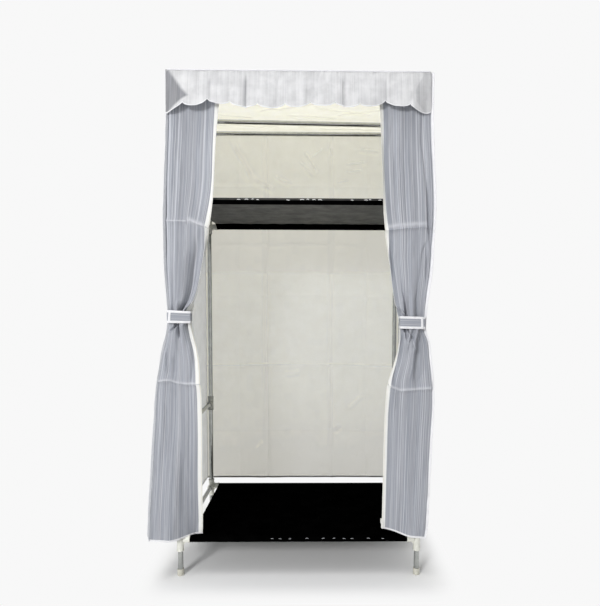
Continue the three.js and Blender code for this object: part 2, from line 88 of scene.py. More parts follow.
class Look:
    """One procedural material."""

    def __init__(self, name, roughness, **sockets):
        self.material = bpy.data.materials.new(name)
        self.material.use_nodes = True
        self.tree = self.material.node_tree
        self.shader = self.tree.nodes["Principled BSDF"]
        self.shader.inputs["Roughness"].default_value = roughness
        for key, value in sockets.items():
            self.shader.inputs[key.replace("_", " ")].default_value = value

    def node(self, kind, inputs=None, **settings):
        made = self.tree.nodes.new(kind)
        for key, value in settings.items():
            setattr(made, key, value)
        for key, value in (inputs or {}).items():
            if isinstance(value, bpy.types.NodeSocket):
                self.tree.links.new(value, made.inputs[key])
            else:
                made.inputs[key].default_value = value
        return made

    def link(self, value, socket):
        self.tree.links.new(value, self.shader.inputs[socket])

    def cloth_space(self, across, along, shift=0.0):
        """The cloth's own flat coordinates, counted in cells of across by along metres."""
        flat = self.node("ShaderNodeUVMap", uv_map="cloth").outputs[0]
        scale = (1 / across, 1 / along, 1.0)
        mapping = self.node("ShaderNodeMapping", {"Vector": flat, "Scale": scale, "Location": (shift, shift, 0)})
        return mapping.outputs[0]

    def object_space(self, size):
        where = self.node("ShaderNodeTexCoord").outputs["Object"]
        return self.node("ShaderNodeMapping", {"Vector": where, "Scale": (1 / size,) * 3}).outputs[0]

    def noise(self, vector, detail, roughness=0.5, flat=True):
        settings = {"Vector": vector, "Scale": 1.0, "Detail": detail, "Roughness": roughness}
        return self.node("ShaderNodeTexNoise", settings, noise_dimensions="2D" if flat else "3D").outputs[0]

    def sums(self, *terms):
        """The weighted sum of (value, weight) pairs."""
        total = None
        for value, weight in terms:
            scaled = self.node("ShaderNodeMath", {0: value, 1: weight}, operation="MULTIPLY").outputs[0]
            if total is None:
                total = scaled
            else:
                total = self.node("ShaderNodeMath", {0: total, 1: scaled}, operation="ADD").outputs[0]
        return total

    def ramp(self, factor, stops):
        made = self.node("ShaderNodeValToRGB", {"Fac": factor})
        elements = made.color_ramp.elements
        while len(elements) < len(stops):
            elements.new(0.5)
        for element, (place_on_ramp, colour) in zip(elements, stops):
            element.position = place_on_ramp
            element.color = colour if isinstance(colour, tuple) else (colour, colour, colour, 1.0)
        return made.outputs[0]

    def mix(self, first, second, factor, blend="MIX"):
        made = self.node("ShaderNodeMix", data_type="RGBA", blend_type=blend)
        for socket, value in ((0, factor), (6, first), (7, second)):
            if isinstance(value, bpy.types.NodeSocket):
                self.tree.links.new(value, made.inputs[socket])
            else:
                made.inputs[socket].default_value = value
        return made.outputs[2]

    def bump(self, height, distance, strength):
        made = self.node("ShaderNodeBump", {"Height": height, "Distance": distance, "Strength": strength})
        self.link(made.outputs[0], "Normal")

    def dimples(self, size):
        """The point-bonded pattern of non-woven cloth."""
        cells = {"Vector": self.cloth_space(size, size), "Scale": 1.0, "Randomness": 0.25}
        return self.node("ShaderNodeTexVoronoi", cells, voronoi_dimensions="2D").outputs["Distance"]

    def cloth_noise(self, across, along, shift, detail=2.0, roughness=0.5):
        return self.noise(self.cloth_space(across, along, shift), detail, roughness)

    def fibres(self):
        """The finest web of the cloth, for its bump."""
        return self.cloth_noise(0.0006, 0.0009, 2.0, detail=3.0)

    # the attribute of painted light and shade that mark stores
    def painted_shading(self):
        return self.node("ShaderNodeAttribute", attribute_name="painted_shading").outputs["Fac"]

    def roughness(self, factor, low, high):
        self.link(self.ramp(factor, [(0.3, low), (0.7, high)]), "Roughness")


def striped_cloth(name, colours, patches=0.2):
    """Printed cloth. Colours: its dark, middle and light stripes, thin lines, and a pale tone for the painted highlight
    where its painted light attribute says.
    """
    dark, middle, light, line, lit_tone = tones(colours)
    look = Look(name, 0.8, Sheen_Weight=0.12, Sheen_Roughness=0.5)
    broad = look.cloth_noise(0.022, 4.0, 3.1)
    streak = look.cloth_noise(0.0075, 2.5, 7.7, detail=3.0)
    fine = look.cloth_noise(0.0021, 0.6, 1.9, detail=3.0, roughness=0.6)
    hair = look.cloth_noise(0.0012, 0.12, 5.3)
    weights = (0.6, 0.7, 1.6, 0.9)
    height = look.sums(*zip((broad, streak, fine, hair), weights))
    to_ramp_middle = sum(weights) / 2 - 0.5
    shifted = look.node("ShaderNodeMath", {0: height, 1: to_ramp_middle}, operation="SUBTRACT").outputs[0]
    body = look.ramp(shifted, [(0.22, dark), (0.5, middle), (0.76, light)])
    line_noise = look.cloth_noise(0.0034, 3.0, 11.0)
    gaps = look.cloth_noise(0.004, 0.25, 13.0, detail=1.0)
    lines = look.ramp(look.sums((line_noise, 1.0), (gaps, 0.25)), [(0.71, 0.0), (0.77, 0.85)])
    cool, warm = (0.985, 0.99, 1.0, 1), (1.0, 0.99, 0.985, 1)
    tint = look.ramp(look.cloth_noise(0.018, 3.0, 17.0), [(0.4, cool), (0.6, warm)])
    colour = look.mix(look.mix(body, line, lines), tint, 1.0, "MULTIPLY")
    cloudy = look.cloth_noise(0.04, 0.03, 21.0, detail=3.0, roughness=0.55)
    uneven = look.sums((cloudy, 0.42), (streak, 0.26), (fine, 0.32))
    patchy = look.ramp(uneven, [(0.38, 1 - patches), (0.58, 1.0)])
    # painted highlight: the pale tone where the attribute of painted light says, in patches (crease highlights on the
    # strips, the lit face of the valance)
    painted_light = look.node("ShaderNodeMath", {0: look.painted_shading(), 1: patchy}, operation="MULTIPLY").outputs[0]
    look.link(look.mix(colour, lit_tone, painted_light), "Base Color")
    look.bump(look.sums((look.dimples(0.0015), 0.7), (look.fibres(), 0.6)), 0.00018, 0.6)
    look.roughness(streak, 0.72, 0.88)
    return look.material


def plain_cloth(name, colours, painted_tone=None, glow=0.0, roughness=0.85, sheen=0.08, **sockets):
    """Non-woven cloth of one colour with a slightly uneven web of fibres, and the tone it is painted towards where its
    attribute of painted light and shade says.
    """
    dark, middle, light = tones(colours)
    look = Look(name, roughness, Sheen_Weight=sheen, Sheen_Roughness=0.5, **sockets)
    cloudy = look.cloth_noise(0.05, 0.05, 4.0, detail=4.0)
    web = look.cloth_noise(0.004, 0.006, 8.0, detail=4.0, roughness=0.65)
    colour = look.ramp(look.sums((cloudy, 0.6), (web, 0.4)), [(0.36, dark), (0.5, middle), (0.64, light)])
    if painted_tone:
        colour = look.mix(colour, tone(*painted_tone), look.painted_shading())
    look.link(colour, "Base Color")
    look.bump(look.sums((look.dimples(0.0015), 0.8), (look.fibres(), 0.6), (web, 0.8)), 0.00022, 0.6)
    look.roughness(web, roughness - 0.06, min(1.0, roughness + 0.06))
    if glow:
        look.shader.inputs["Subsurface Weight"].default_value = glow
        look.shader.inputs["Subsurface Radius"].default_value = (1.0, 0.95, 0.8)
        look.shader.inputs["Subsurface Scale"].default_value = 0.02
    return look.material


def woven_trim(name, colours, pitch=0.0011, roughness=0.7, **sockets):
    """Tape, binding or thread with a fine rib across it."""
    colour, shade = tones(colours)
    look = Look(name, roughness, **{"Sheen_Weight": 0.15, "Sheen_Roughness": 0.4, **sockets})
    waves = {"Vector": look.cloth_space(1.0, pitch), "Scale": 0.5, "Distortion": 0.6, "Detail": 1.0}
    ribs = look.node("ShaderNodeTexWave", waves, bands_direction="Y").outputs[0]
    soil = look.cloth_noise(0.006, 0.02, 3.0, detail=3.0)
    look.link(look.ramp(look.sums((ribs, 0.35), (soil, 0.65)), [(0.25, shade), (0.6, colour)]), "Base Color")
    look.bump(ribs, 0.00012, 0.5)
    look.roughness(soil, roughness - 0.08, roughness + 0.08)
    return look.material


def hard_look(name, colours, roughness, size=0.02, bump=0.00004, **sockets):
    """Moulded plastic or metal. Colours: the two of its faint clouding, and its scuffs."""
    dark, light, scuffed = tones(colours)
    look = Look(name, roughness, **sockets)
    cloud = look.noise(look.object_space(size), detail=4.0, flat=False)
    grain = look.noise(look.object_space(0.0007), detail=3.0, flat=False)
    scuffs = look.noise(look.object_space(0.006), detail=6.0, roughness=0.7, flat=False)
    base = look.ramp(cloud, [(0.38, dark), (0.62, light)])
    look.link(look.mix(base, scuffed, look.ramp(scuffs, [(0.62, 0.0), (0.72, 0.5)])), "Base Color")
    look.roughness(look.sums((cloud, 0.5), (grain, 0.5)), roughness - 0.06, roughness + 0.08)
    look.bump(look.sums((grain, 0.6), (cloud, 1.2)), bump, 0.5)
    return look.material


STRIPED = striped_cloth(
    "striped_cloth", ((136, 139, 146), (150, 153, 161), (165, 168, 175), (193, 195, 201), (206, 207, 212))
)
# the striped print again, with darker stripes for the painted shade at the valance's turned-back ends and a pale tone
# for the painted light on the rest of it
VALANCE_CLOTH = striped_cloth(
    "striped_cloth_valance_painted_light", ((114, 115, 119), (130, 131, 135), (144, 145, 149), (165, 166, 169), (213, 213, 214)), 0.3
)
REVERSE = plain_cloth("striped_cloth_reverse", ((180, 185, 192), (188, 193, 199), (196, 200, 206)), glow=0.9)
# a darker, bluer copy of the striped cloth's reverse for the inside of the side walls: painted shade
SHADED_REVERSE = plain_cloth("side_wall_reverse_shaded", ((165, 171, 183), (172, 178, 190), (179, 185, 197)), glow=0.9)
# (176, 173, 167) is the painted shade on the back wall: along its creases and wrinkles and in the band under the shelf
CREAM = plain_cloth("cream_lining", ((240, 235, 195), (242, 238, 199), (245, 241, 204)), (176, 173, 167), 1.0)
# the cream lining again, brighter and yellower: painted light shining through the roof; (208, 198, 148) is the painted
# shade beside its wrinkles
ROOF_CREAM = plain_cloth("cream_roof", ((247, 243, 184), (250, 247, 192), (252, 249, 202)), (208, 198, 148), 1.0)
# (74, 74, 72) is the tone of the painted highlight on the top front of the upper shelf's sleeve
BLACK_TOP = plain_cloth(
    "shelf_black", ((1, 1, 1), (2, 2, 2), (4, 4, 4)), (74, 74, 72), roughness=0.98, sheen=0.0, Specular_IOR_Level=0.0
)
BLACK_UNDER = plain_cloth("shelf_underside", ((72, 72, 71), (89, 89, 86), (105, 105, 101)))
BINDING = woven_trim("white_binding", ((232, 232, 234), (214, 214, 218)))
ZIP_TAPE = woven_trim("zip_tape", ((233, 233, 231), (228, 228, 224)), pitch=0.0008)
COIL = woven_trim("zip_coil", ((238, 234, 220), (214, 210, 196)), pitch=0.002, roughness=0.4)
# a grey copy of the white binding: on the left corner seam it stands for painted shade; the lower shelf's thread ends
# use it too
GREY_TRIM = woven_trim("grey_binding", ((196, 198, 202), (178, 180, 186)))
THREAD = woven_trim("white_thread", ((242, 242, 240), (220, 220, 218)), pitch=0.0006)
DARK_THREAD = woven_trim(
    "dark_thread", ((9, 9, 10), (5, 5, 6)), pitch=0.0006, Specular_IOR_Level=0.0, Sheen_Weight=0.0
)
TUBE = hard_look(
    "tube_finish", ((164, 166, 164), (176, 178, 175), (146, 147, 144)), 0.14, bump=0.00002, Metallic=1.0
)
# the same tube finish, in a brighter and glossier copy for the top rails and cross rail: a lit copy of one finish
LIT_TUBE = hard_look(
    "tube_finish_lit_copy", ((176, 177, 173), (186, 187, 183), (160, 160, 157)), 0.1, bump=0.00001, Metallic=1.0
)
FITTING = hard_look("fitting_plastic", ((218, 218, 208), (228, 228, 219), (206, 205, 194)), 0.5)
CAP = hard_look("cap_plastic", ((190, 188, 176), (204, 202, 190), (160, 158, 148)), 0.55, size=0.012, bump=0.0001)
ENAMEL = hard_look(
    "zip_enamel", ((232, 232, 228), (240, 240, 236), (170, 168, 162)), 0.3, size=0.004, Metallic=0.3, Coat_Weight=0.4
)


# ---------------------------------------------------------------- mesh tools


def grid_faces(rows, columns, wrap=False):
    """Four-cornered faces of a grid of points; wrap joins its last column to its first."""
    index = np.arange(rows * columns).reshape(rows, columns)
    if wrap:
        index = np.hstack([index, index[:, :1]])
    corners = (index[:-1, :-1], index[:-1, 1:], index[1:, 1:], index[1:, :-1])
    return np.stack(corners, axis=-1).reshape(-1, 4)


def capped_faces(rings, sides):
    """Faces of a tube of rings with a flat face on both ends."""
    last = (rings - 1) * sides
    faces = [tuple(face) for face in grid_faces(rings, sides, wrap=True)]
    return faces + [tuple(range(sides))[::-1], tuple(last + k for k in range(sides))]


def looped_faces(rings, sides):
    """Faces of a tube of rings whose last ring joins its first."""
    last = (rings - 1) * sides
    closing = grid_faces(2, sides, wrap=True)
    joined = np.where(closing < sides, closing + last, closing - sides)
    return np.concatenate([grid_faces(rings, sides, wrap=True), joined])


def flat_grid(across, along):
    """Flat cloth coordinates for every column and row of a grid."""
    return np.stack(np.meshgrid(across, along), axis=-1)


def run_along(points):
    """The length of a path up to each of its points."""
    return np.concatenate([[0], np.cumsum(np.linalg.norm(np.diff(points, axis=0), axis=1))])


class Build:
    """Collects points and faces, with their materials and flat cloth coordinates, for one mesh."""

    def __init__(self):
        self.points, self.faces, self.slots, self.flats = [], [], [], []
        self.count = 0

    def add(self, points, faces, slot=0, flat=None):
        points = np.asarray(points, dtype=float).reshape(-1, 3)
        flat = np.zeros((len(points), 2)) if flat is None else np.asarray(flat, dtype=float).reshape(-1, 2)
        self.points.append(points)
        self.flats.append(flat)
        self.add_faces(faces, slot, self.count)
        self.count += len(points)

    def add_faces(self, faces, slot, first):
        self.faces.extend(tuple(int(i) + first for i in face) for face in faces)
        self.slots.extend([slot] * len(faces))

    def make(self, name, materials, body=ROOT_BODY, angle=35.0):
        mesh = bpy.data.meshes.new(name)
        mesh.from_pydata(place(np.concatenate(self.points)).tolist(), [], self.faces)
        for material in materials:
            mesh.materials.append(material)
        mesh.polygons.foreach_set("material_index", self.slots)
        layer = mesh.uv_layers.new(name="cloth")
        order = np.empty(len(mesh.loops), dtype=np.int32)
        mesh.loops.foreach_get("vertex_index", order)
        layer.data.foreach_set("uv", (np.concatenate(self.flats) * MM)[order].ravel())
        mesh.shade_smooth()
        mesh.set_sharp_from_angle(angle=math.radians(angle))
        mesh.update()
        made = bpy.data.objects.new(name, mesh)
        bpy.context.scene.collection.objects.link(made)
        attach(made, body)
        return made


def mark(piece, grid_values):
    """Stores the painted light and shade of each point of a cloth, for its material."""
    layer = piece.data.attributes.new("painted_shading", "FLOAT", "POINT")
    layer.data.foreach_set("value", np.concatenate([np.clip(grid_values, 0, 1).ravel()] * 2))


def unit(vectors):
    return vectors / np.maximum(np.linalg.norm(vectors, axis=-1, keepdims=True), 1e-9)


def normals_of(grid, facing):
    return unit(np.cross(np.gradient(grid, axis=1), np.gradient(grid, axis=0))) * facing


def add_cloth(build, grid, flat, thickness, facing, lined=True):
    """A closed thin solid round a grid of points; when lined, its reverse has the second material."""
    rows, columns = grid.shape[:2]
    n = normals_of(grid, facing)
    size = rows * columns
    index = np.arange(size).reshape(rows, columns)
    rim = np.concatenate([index[0, :-1], index[:-1, -1], index[-1, :0:-1], index[:0:-1, 0]])
    after = np.roll(rim, -1)
    side = np.stack([rim, rim + size, after + size, after], axis=-1)
    outer = grid_faces(rows, columns)
    inner = outer[:, ::-1] + size
    if facing < 0:
        outer, inner, side = outer[:, ::-1], inner[:, ::-1], side[:, ::-1]
    start = build.count
    layers = [(grid + n * thickness / 2).reshape(-1, 3), (grid - n * thickness / 2).reshape(-1, 3)]
    build.add(np.concatenate(layers), outer, 0, np.concatenate([flat.reshape(-1, 2)] * 2))
    build.add_faces(inner, 1 if lined else 0, start)
    build.add_faces(side, 0, start)


def make_cloth(name, grid, flat, materials, facing, body=ROOT_BODY, thickness=CLOTH):
    build = Build()
    add_cloth(build, grid, flat, thickness, facing)
    return build.make(name, materials, body)


class Sheet:
    """A piece of cloth as a grid of points, which trims and stitches can be laid on."""

    def __init__(self, x, y, z, s_values, t_values, facing):
        self.grid = np.stack([x, y, z], axis=-1)
        self.s_values, self.t_values, self.facing = s_values, t_values, facing
        self.normals = normals_of(self.grid, facing)

    def at(self, s, t, lift):
        """Points at shares s across and t up the cloth, lifted off its face."""
        s, t, lift = np.broadcast_arrays(np.asarray(s, float), np.asarray(t, float), np.asarray(lift, float))

        def cell(values, wanted):
            index = np.clip(np.searchsorted(values, wanted, side="right") - 1, 0, len(values) - 2)
            return index, (wanted - values[index]) / (values[index + 1] - values[index])

        i, fx = cell(self.s_values, s)
        j, fy = cell(self.t_values, t)

        def blend(field, fx, fy):
            fx, fy = fx[..., None], fy[..., None]
            low = field[j, i] * (1 - fx) + field[j, i + 1] * fx
            high = field[j + 1, i] * (1 - fx) + field[j + 1, i + 1] * fx
            return low * (1 - fy) + high * fy

        normal = unit(blend(self.normals, np.clip(fx, 0, 1), np.clip(fy, 0, 1)))
        return blend(self.grid, fx, fy) + normal * lift[..., None]


def soft_noise(x, z, size_x, size_z, seed):
    """A smooth random field between -1 and 1."""
    columns, rows = 97, 89
    lattice = np.random.default_rng(seed).uniform(-1, 1, (columns, rows))
    gx, gz = x / size_x + 400.0, z / size_z + 400.0
    ix, iz = np.floor(gx).astype(int), np.floor(gz).astype(int)
    fx, fz = gx - ix, gz - iz
    fx, fz = fx ** 3 * (fx * (6 * fx - 15) + 10), fz ** 3 * (fz * (6 * fz - 15) + 10)
    ix, iz = ix % columns, iz % rows
    jx, jz = (ix + 1) % columns, (iz + 1) % rows
    low = lattice[ix, iz] * (1 - fx) + lattice[jx, iz] * fx
    high = lattice[ix, jz] * (1 - fx) + lattice[jx, jz] * fx
    return low * (1 - fz) + high * fz


def crumple(x, z, *terms):
    """The sum of soft noises of (amount, size in x, size in z, seed)."""
    return sum(amount * soft_noise(x, z, size_x, size_z, seed) for amount, size_x, size_z, seed in terms)


def ridge(offset, width):
    """A sharp crest along the line where offset is 0."""
    return np.exp(-np.abs(offset) / width)


def bell(offset, width):
    """A rounded crest along the line where offset is 0."""
    return np.exp(-((offset / width) ** 2))


def hermite(stations):
    """A smooth curve through rows of (key, values...), sorted by key."""
    table = np.array(sorted(stations), dtype=float)
    keys, values = table[:, 0], table[:, 1:]
    slopes = np.gradient(values, keys, axis=0)

    def at(key):
        key = np.clip(np.asarray(key, dtype=float), keys[0], keys[-1])
        i = np.clip(np.searchsorted(keys, key, side="right") - 1, 0, len(keys) - 2)
        span = keys[i + 1] - keys[i]
        t = ((key - keys[i]) / span)[..., None]
        span = span[..., None]
        first, second = values[i], values[i + 1]
        rise = t * t * (3 - 2 * t)
        pull = span * (t * (1 - t) ** 2 * slopes[i] + t * t * (t - 1) * slopes[i + 1])
        return first + (second - first) * rise + pull

    return at


def smoothstep(value, low, high):
    t = np.clip((np.asarray(value, dtype=float) - low) / (high - low), 0, 1)
    return t * t * (3 - 2 * t)


def columns_of(nodes, at, reach):
    """Where the nodes' range is, and their second and later columns at each place, from their first."""
    table = np.array(sorted(nodes), dtype=float)
    inside = (at >= table[0, 0] - reach) & (at <= table[-1, 0] + reach)
    return [inside] + [np.interp(at, table[:, 0], column) for column in table[:, 1:].T]


FOLD_DEPTH, FOLD_WIDTH = 1.75, 0.82


def fold(x, z, nodes):
    """Backward offset of a fold that follows nodes of (height, x, depth, half width)."""
    inside, centre, depth, width = columns_of(nodes, z, 0)
    return np.where(inside, FOLD_DEPTH * depth * bell(x - centre, FOLD_WIDTH * width), 0.0)


def crease(x, z, nodes, above, below):
    """Forward ridge along nodes of (x, height, size), wide above it and narrow below it."""
    inside, height, size = columns_of(nodes, x, 1)
    return np.where(inside, -size * ridge(z - height, np.where(z > height, above, below)), 0.0)


def tube_grid(path, radius, sides, closed=False):
    """Rings of points round a path; radius may be one value per point."""
    path = np.asarray(path, dtype=float)
    radius = np.broadcast_to(np.asarray(radius, dtype=float), (len(path),))
    if closed:
        tangent = unit(np.roll(path, -1, axis=0) - np.roll(path, 1, axis=0))
    else:
        tangent = unit(np.gradient(path, axis=0))
    side = np.array([0.0, 0.0, 1.0]) if abs(tangent[0][2]) < 0.9 else np.array([1.0, 0.0, 0.0])
    angles = np.arange(sides) * 2 * math.pi / sides
    rings = []
    for point, direction, r in zip(path, tangent, radius):
        side = side - direction * np.dot(side, direction)
        side = side / np.linalg.norm(side)
        other = np.cross(direction, side)
        rings.append(point + r * (np.outer(np.cos(angles), side) + np.outer(np.sin(angles), other)))
    return np.array(rings)


def add_cord(build, path, radius, sides=10, slot=0):
    """A round cord with closed, rounded ends."""
    path = np.asarray(path, dtype=float)
    start, end = unit(path[0] - path[1]), unit(path[-1] - path[-2])
    full = np.concatenate([[path[0] + start * radius * 0.6], path, [path[-1] + end * radius * 0.6]])
    radii = np.concatenate([[radius * 0.5], np.full(len(path), radius), [radius * 0.5]])
    flat = flat_grid(np.arange(sides) * radius, run_along(full))
    build.add(tube_grid(full, radii, sides), capped_faces(len(full), sides), slot, flat)


def add_lathe(build, profile, start, direction, sides=40):
    """Turns a closed profile of (distance along, radius) round an axis."""
    direction = unit(np.asarray(direction, dtype=float))
    side = np.array([1.0, 0.0, 0.0]) if abs(direction[0]) < 0.8 else np.array([0.0, 1.0, 0.0])
    side = unit(side - direction * np.dot(side, direction))
    other = np.cross(direction, side)
    angles = np.arange(sides) * 2 * math.pi / sides
    around = np.outer(np.cos(angles), side) + np.outer(np.sin(angles), other)
    rings = np.array([np.asarray(start, dtype=float) + along * direction + r * around for along, r in profile])
    build.add(rings, looped_faces(len(profile), sides)[:, ::-1])


def add_loops(build, points, sides):
    """Many small capped tubes of four rings each, one for each row of points."""
    one = capped_faces(4, sides)
    build.add(points, [tuple(i + 4 * sides * n for i in face) for n in range(len(points)) for face in one])


STITCH_GAP, STITCH_RADIUS, STITCH_SIDES = 1.3, 0.28, 5
# a stitch from end to end: share of its length, thickness and height over the cloth, in radii
STITCH_PROFILE = ((0.0, 0.25, -0.25), (0.18, 0.9, 0.1), (0.82, 0.9, 0.1), (1.0, 0.25, -0.25))


def add_stitches(build, sheet, s, t, lift, length=3.0):
    """Separate raised stitches along a line of the cloth."""
    path = sheet.at(s, t, lift)
    outward = sheet.at(s, t, lift + 1.0) - path
    run = run_along(path)
    starts = np.arange(STITCH_GAP, run[-1] - length, length + STITCH_GAP)

    def sample(wanted, field):
        return np.stack([np.interp(wanted, run, field[:, k]) for k in range(3)], axis=-1)

    rings = []
    for share, size, rise in STITCH_PROFILE:
        at = starts + share * length
        centre, normal = sample(at, path), unit(sample(at, outward))
        tangent = unit(sample(at + 0.2, path) - sample(at - 0.2, path))
        side = np.cross(tangent, normal)
        for k in range(STITCH_SIDES):
            angle = 2 * math.pi * k / STITCH_SIDES
            up, out = STITCH_RADIUS * (rise + size * math.cos(angle)), STITCH_RADIUS * 1.3 * size * math.sin(angle)
            rings.append(centre + normal * up + side * out)
    add_loops(build, np.stack(rings, axis=1), STITCH_SIDES)


def add_binding(build, sheet, shares, length, height, section, thickness, edge=0.0, direction=1, step=2.0):
    """Binding folded over an edge of a cloth, with a section of (distance in from the edge, lift)."""
    grid = np.array([sheet.at(shares, edge + direction * inset / height, lift) for inset, lift in section])
    flat = flat_grid(shares * length, np.arange(len(section)) * step)[..., ::-1]
    add_cloth(build, grid, flat, thickness, -sheet.facing * direction, lined=False)


def node_points(name):
    """The points of a CAD node, in millimetres."""
    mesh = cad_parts[name].data
    out = np.empty(len(mesh.vertices) * 3)
    mesh.vertices.foreach_get("co", out)
    return (out.reshape(-1, 3) - MIDDLE) / MM


# ---------------------------------------------------------------- tube frame

CORNERS = (("front_left", -1, -1), ("front_right", 1, -1), ("back_left", -1, 1), ("back_right", 1, 1))
LEVELS, AROUND = ("bottom", "shelf", "top"), ("front", "back", "left", "right")
RAILS = [f"{level}_rail_{side}" for level in LEVELS for side in AROUND]
RAILS += ["middle_rail_left", "middle_rail_right", "cross_rail"]
POSTS = [f"{kind}_{corner[0]}" for kind in ("post", "top_post") for corner in CORNERS]
UP = np.array([0.0, 0.0, 1.0])


def make_tube(name):
    """A finer copy of one of the CAD's tubes, between the middles of its two ends."""
    points = node_points(name)
    centre = points.mean(axis=0)
    axis = np.linalg.svd(np.unique(points.round(3), axis=0) - centre, full_matrices=False)[2][0]
    along = (points - centre) @ axis
    low = points[along < along.min() + 1.0].mean(axis=0)
    high = points[along > along.max() - 1.0].mean(axis=0)
    length = float(np.linalg.norm(high - low))
    inner, edge = TUBE_RADIUS - TUBE_WALL, 0.2
    stops = np.linspace(edge, length - edge, max(2, int(length / 60)))
    profile = [(0.0, TUBE_RADIUS - edge)] + [(stop, TUBE_RADIUS) for stop in stops] + [(length, TUBE_RADIUS - edge)]
    profile += [(length, inner + 0.1)] + [(stop, inner) for stop in stops[::-1]] + [(0.0, inner + 0.1)]
    build = Build()
    add_lathe(build, profile, low, high - low, 48)
    # the rails under the roof get the lit copy of the tube finish
    finish = LIT_TUBE if name.startswith(("top_rail", "cross_rail")) else TUBE
    tube = build.make(f"{name}_tube", [finish])
    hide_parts(name)


for name in POSTS + RAILS:
    make_tube(name)

BODY_RADIUS = 10.3
COLLAR_RADIUS = 11.12
ARM_LENGTH = 30.0
SLEEVE_LENGTH = 27.0
BOTTOM_SLEEVE = 36.0  # from the bottom rails down
TEE_SLEEVE = 20.0
HUB_RADIUS, HUB_SIDES = BODY_RADIUS + 0.35, 32
ARM_START = BORE_RADIUS + 0.9
RIB_INSIDE = BODY_RADIUS - 1.2
# a rib's section: (offset from its middle, how far its rim is drawn in)
RIB_SECTION = ((-1.3, 0.5), (-0.9, 0.0), (0.9, 0.0), (1.3, 0.5))


def socket_profile(start, end):
    """An arm from inside the hub to its open mouth, with a thicker collar round the mouth."""
    return [
        (start, BODY_RADIUS - 0.2), (end - 6.4, BODY_RADIUS), (end - 5.6, BODY_RADIUS + 0.2),
        (end - 5.0, COLLAR_RADIUS - 0.15), (end - 4.6, COLLAR_RADIUS), (end - 0.6, COLLAR_RADIUS),
        (end - 0.15, COLLAR_RADIUS - 0.2), (end, COLLAR_RADIUS - 0.6), (end, BORE_RADIUS + 0.45),
        (end - 0.4, BORE_RADIUS + 0.05), (end - 1.0, BORE_RADIUS), (start, BORE_RADIUS),
    ]


def sleeve_profile(low, high):
    """A sleeve that is open at both ends, from low to high past the hub."""
    bottom = [(-along, radius) for along, radius in socket_profile(0.0, low)[:-1]]
    return socket_profile(0.0, high)[1:-1] + [(0.0, BORE_RADIUS)] + bottom[::-1]


def add_rib(build, centre, first, second, reach):
    """A thin web with rounded rims in the angle between two arms."""
    across = np.cross(first, second)
    turn = np.linspace(0, math.pi / 2, 9)
    dip = reach - (reach - RIB_INSIDE) * np.stack([np.sin(turn), np.cos(turn)], axis=-1)
    outline = [(RIB_INSIDE, RIB_INSIDE)] + [(float(a), float(b)) for a, b in dip]
    rings = []
    for shift, shrink in RIB_SECTION:
        drawn = [(max(a - shrink, RIB_INSIDE - 1), max(b - shrink, RIB_INSIDE - 1)) for a, b in outline]
        rings.append([centre + first * a + second * b + across * shift for a, b in drawn])
    build.add(np.array(rings), capped_faces(len(RIB_SECTION), len(outline)))


def add_hub(build, centre):
    """The ball in a corner where the arms meet."""
    turns = np.linspace(0, math.pi, 17)
    profile = [(-HUB_RADIUS * math.cos(a), max(HUB_RADIUS * math.sin(a), 0.02)) for a in turns]
    angles = np.arange(HUB_SIDES) * 2 * math.pi / HUB_SIDES
    around = np.stack([np.cos(angles), np.sin(angles), np.zeros(HUB_SIDES)], axis=-1)
    rings = np.array([centre + along * UP + r * around for along, r in profile])
    build.add(rings, [face[::-1] for face in capped_faces(len(profile), HUB_SIDES)])


def make_fitting(kind, corner, height, side_arms, vertical, ribs):
    """A corner fitting: its arms along x and y, its reach down and up the post, its ribs of (arm, arm, reach)."""
    name, side_x, side_y = corner
    centre = np.array([side_x * HALF_WIDTH, side_y * HALF_DEPTH, height])
    arms = {"x": np.array([-side_x, 0.0, 0.0]), "y": np.array([0.0, -side_y, 0.0]), "up": UP, "down": -UP}
    build = Build()
    for arm in side_arms:
        add_lathe(build, socket_profile(ARM_START, ARM_LENGTH), centre, arms[arm])
    if vertical[1]:
        add_lathe(build, sleeve_profile(*vertical), centre, UP)
    else:
        add_lathe(build, socket_profile(0.0, vertical[0]), centre, -UP)
        add_hub(build, centre)
    for first, second, reach in ribs:
        add_rib(build, centre, arms[first], arms[second], reach)
    made = build.make(f"{kind}_{name}_moulding", [FITTING], angle=30)
    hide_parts(f"{kind}_{name}")


SIDE_RIBS = [("y", "up", 20.0), ("y", "down", 20.0)]
LEVEL_RIBS = [("x", "down", 21.0), ("y", "down", 21.0), ("x", "y", 21.0)]
BOTTOM_RIBS = [("x", "up", 21.0), ("y", "up", 21.0), ("x", "down", 24.0), ("x", "y", 21.0)]
for corner in CORNERS:
    make_fitting("bottom_fitting", corner, BOTTOM_RAIL, "xy", (BOTTOM_SLEEVE, SLEEVE_LENGTH), BOTTOM_RIBS)
    make_fitting("side_bar_fitting", corner, SIDE_BAR, "y", (SLEEVE_LENGTH, SLEEVE_LENGTH), SIDE_RIBS)
    make_fitting("shelf_fitting", corner, SHELF_RAIL, "xy", (SLEEVE_LENGTH, SLEEVE_LENGTH), LEVEL_RIBS)
    make_fitting("top_fitting", corner, TOP_RAIL, "xy", (SLEEVE_LENGTH, 0.0), LEVEL_RIBS)


def make_tee(side):
    """The tee that carries one end of the cross rail on a top side rail."""
    sign = -1 if side == "left" else 1
    rail = node_points("cross_rail")
    end = rail[np.argsort(sign * rail[:, 0])[-24:]].mean(axis=0)
    other = rail[np.argsort(-sign * rail[:, 0])[-24:]].mean(axis=0)
    direction = unit(other - end)
    centre = end - direction * abs((abs(end[0]) - HALF_WIDTH) / direction[0])
    build = Build()
    add_lathe(build, socket_profile(ARM_START, ARM_LENGTH), centre, direction)
    add_lathe(build, sleeve_profile(TEE_SLEEVE, TEE_SLEEVE), centre, np.array([0.0, 1.0, 0.0]))
    made = build.make(f"cross_rail_tee_{side}_moulding", [FITTING], angle=30)
    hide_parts(f"cross_rail_tee_{side}")


make_tee("left")
make_tee("right")


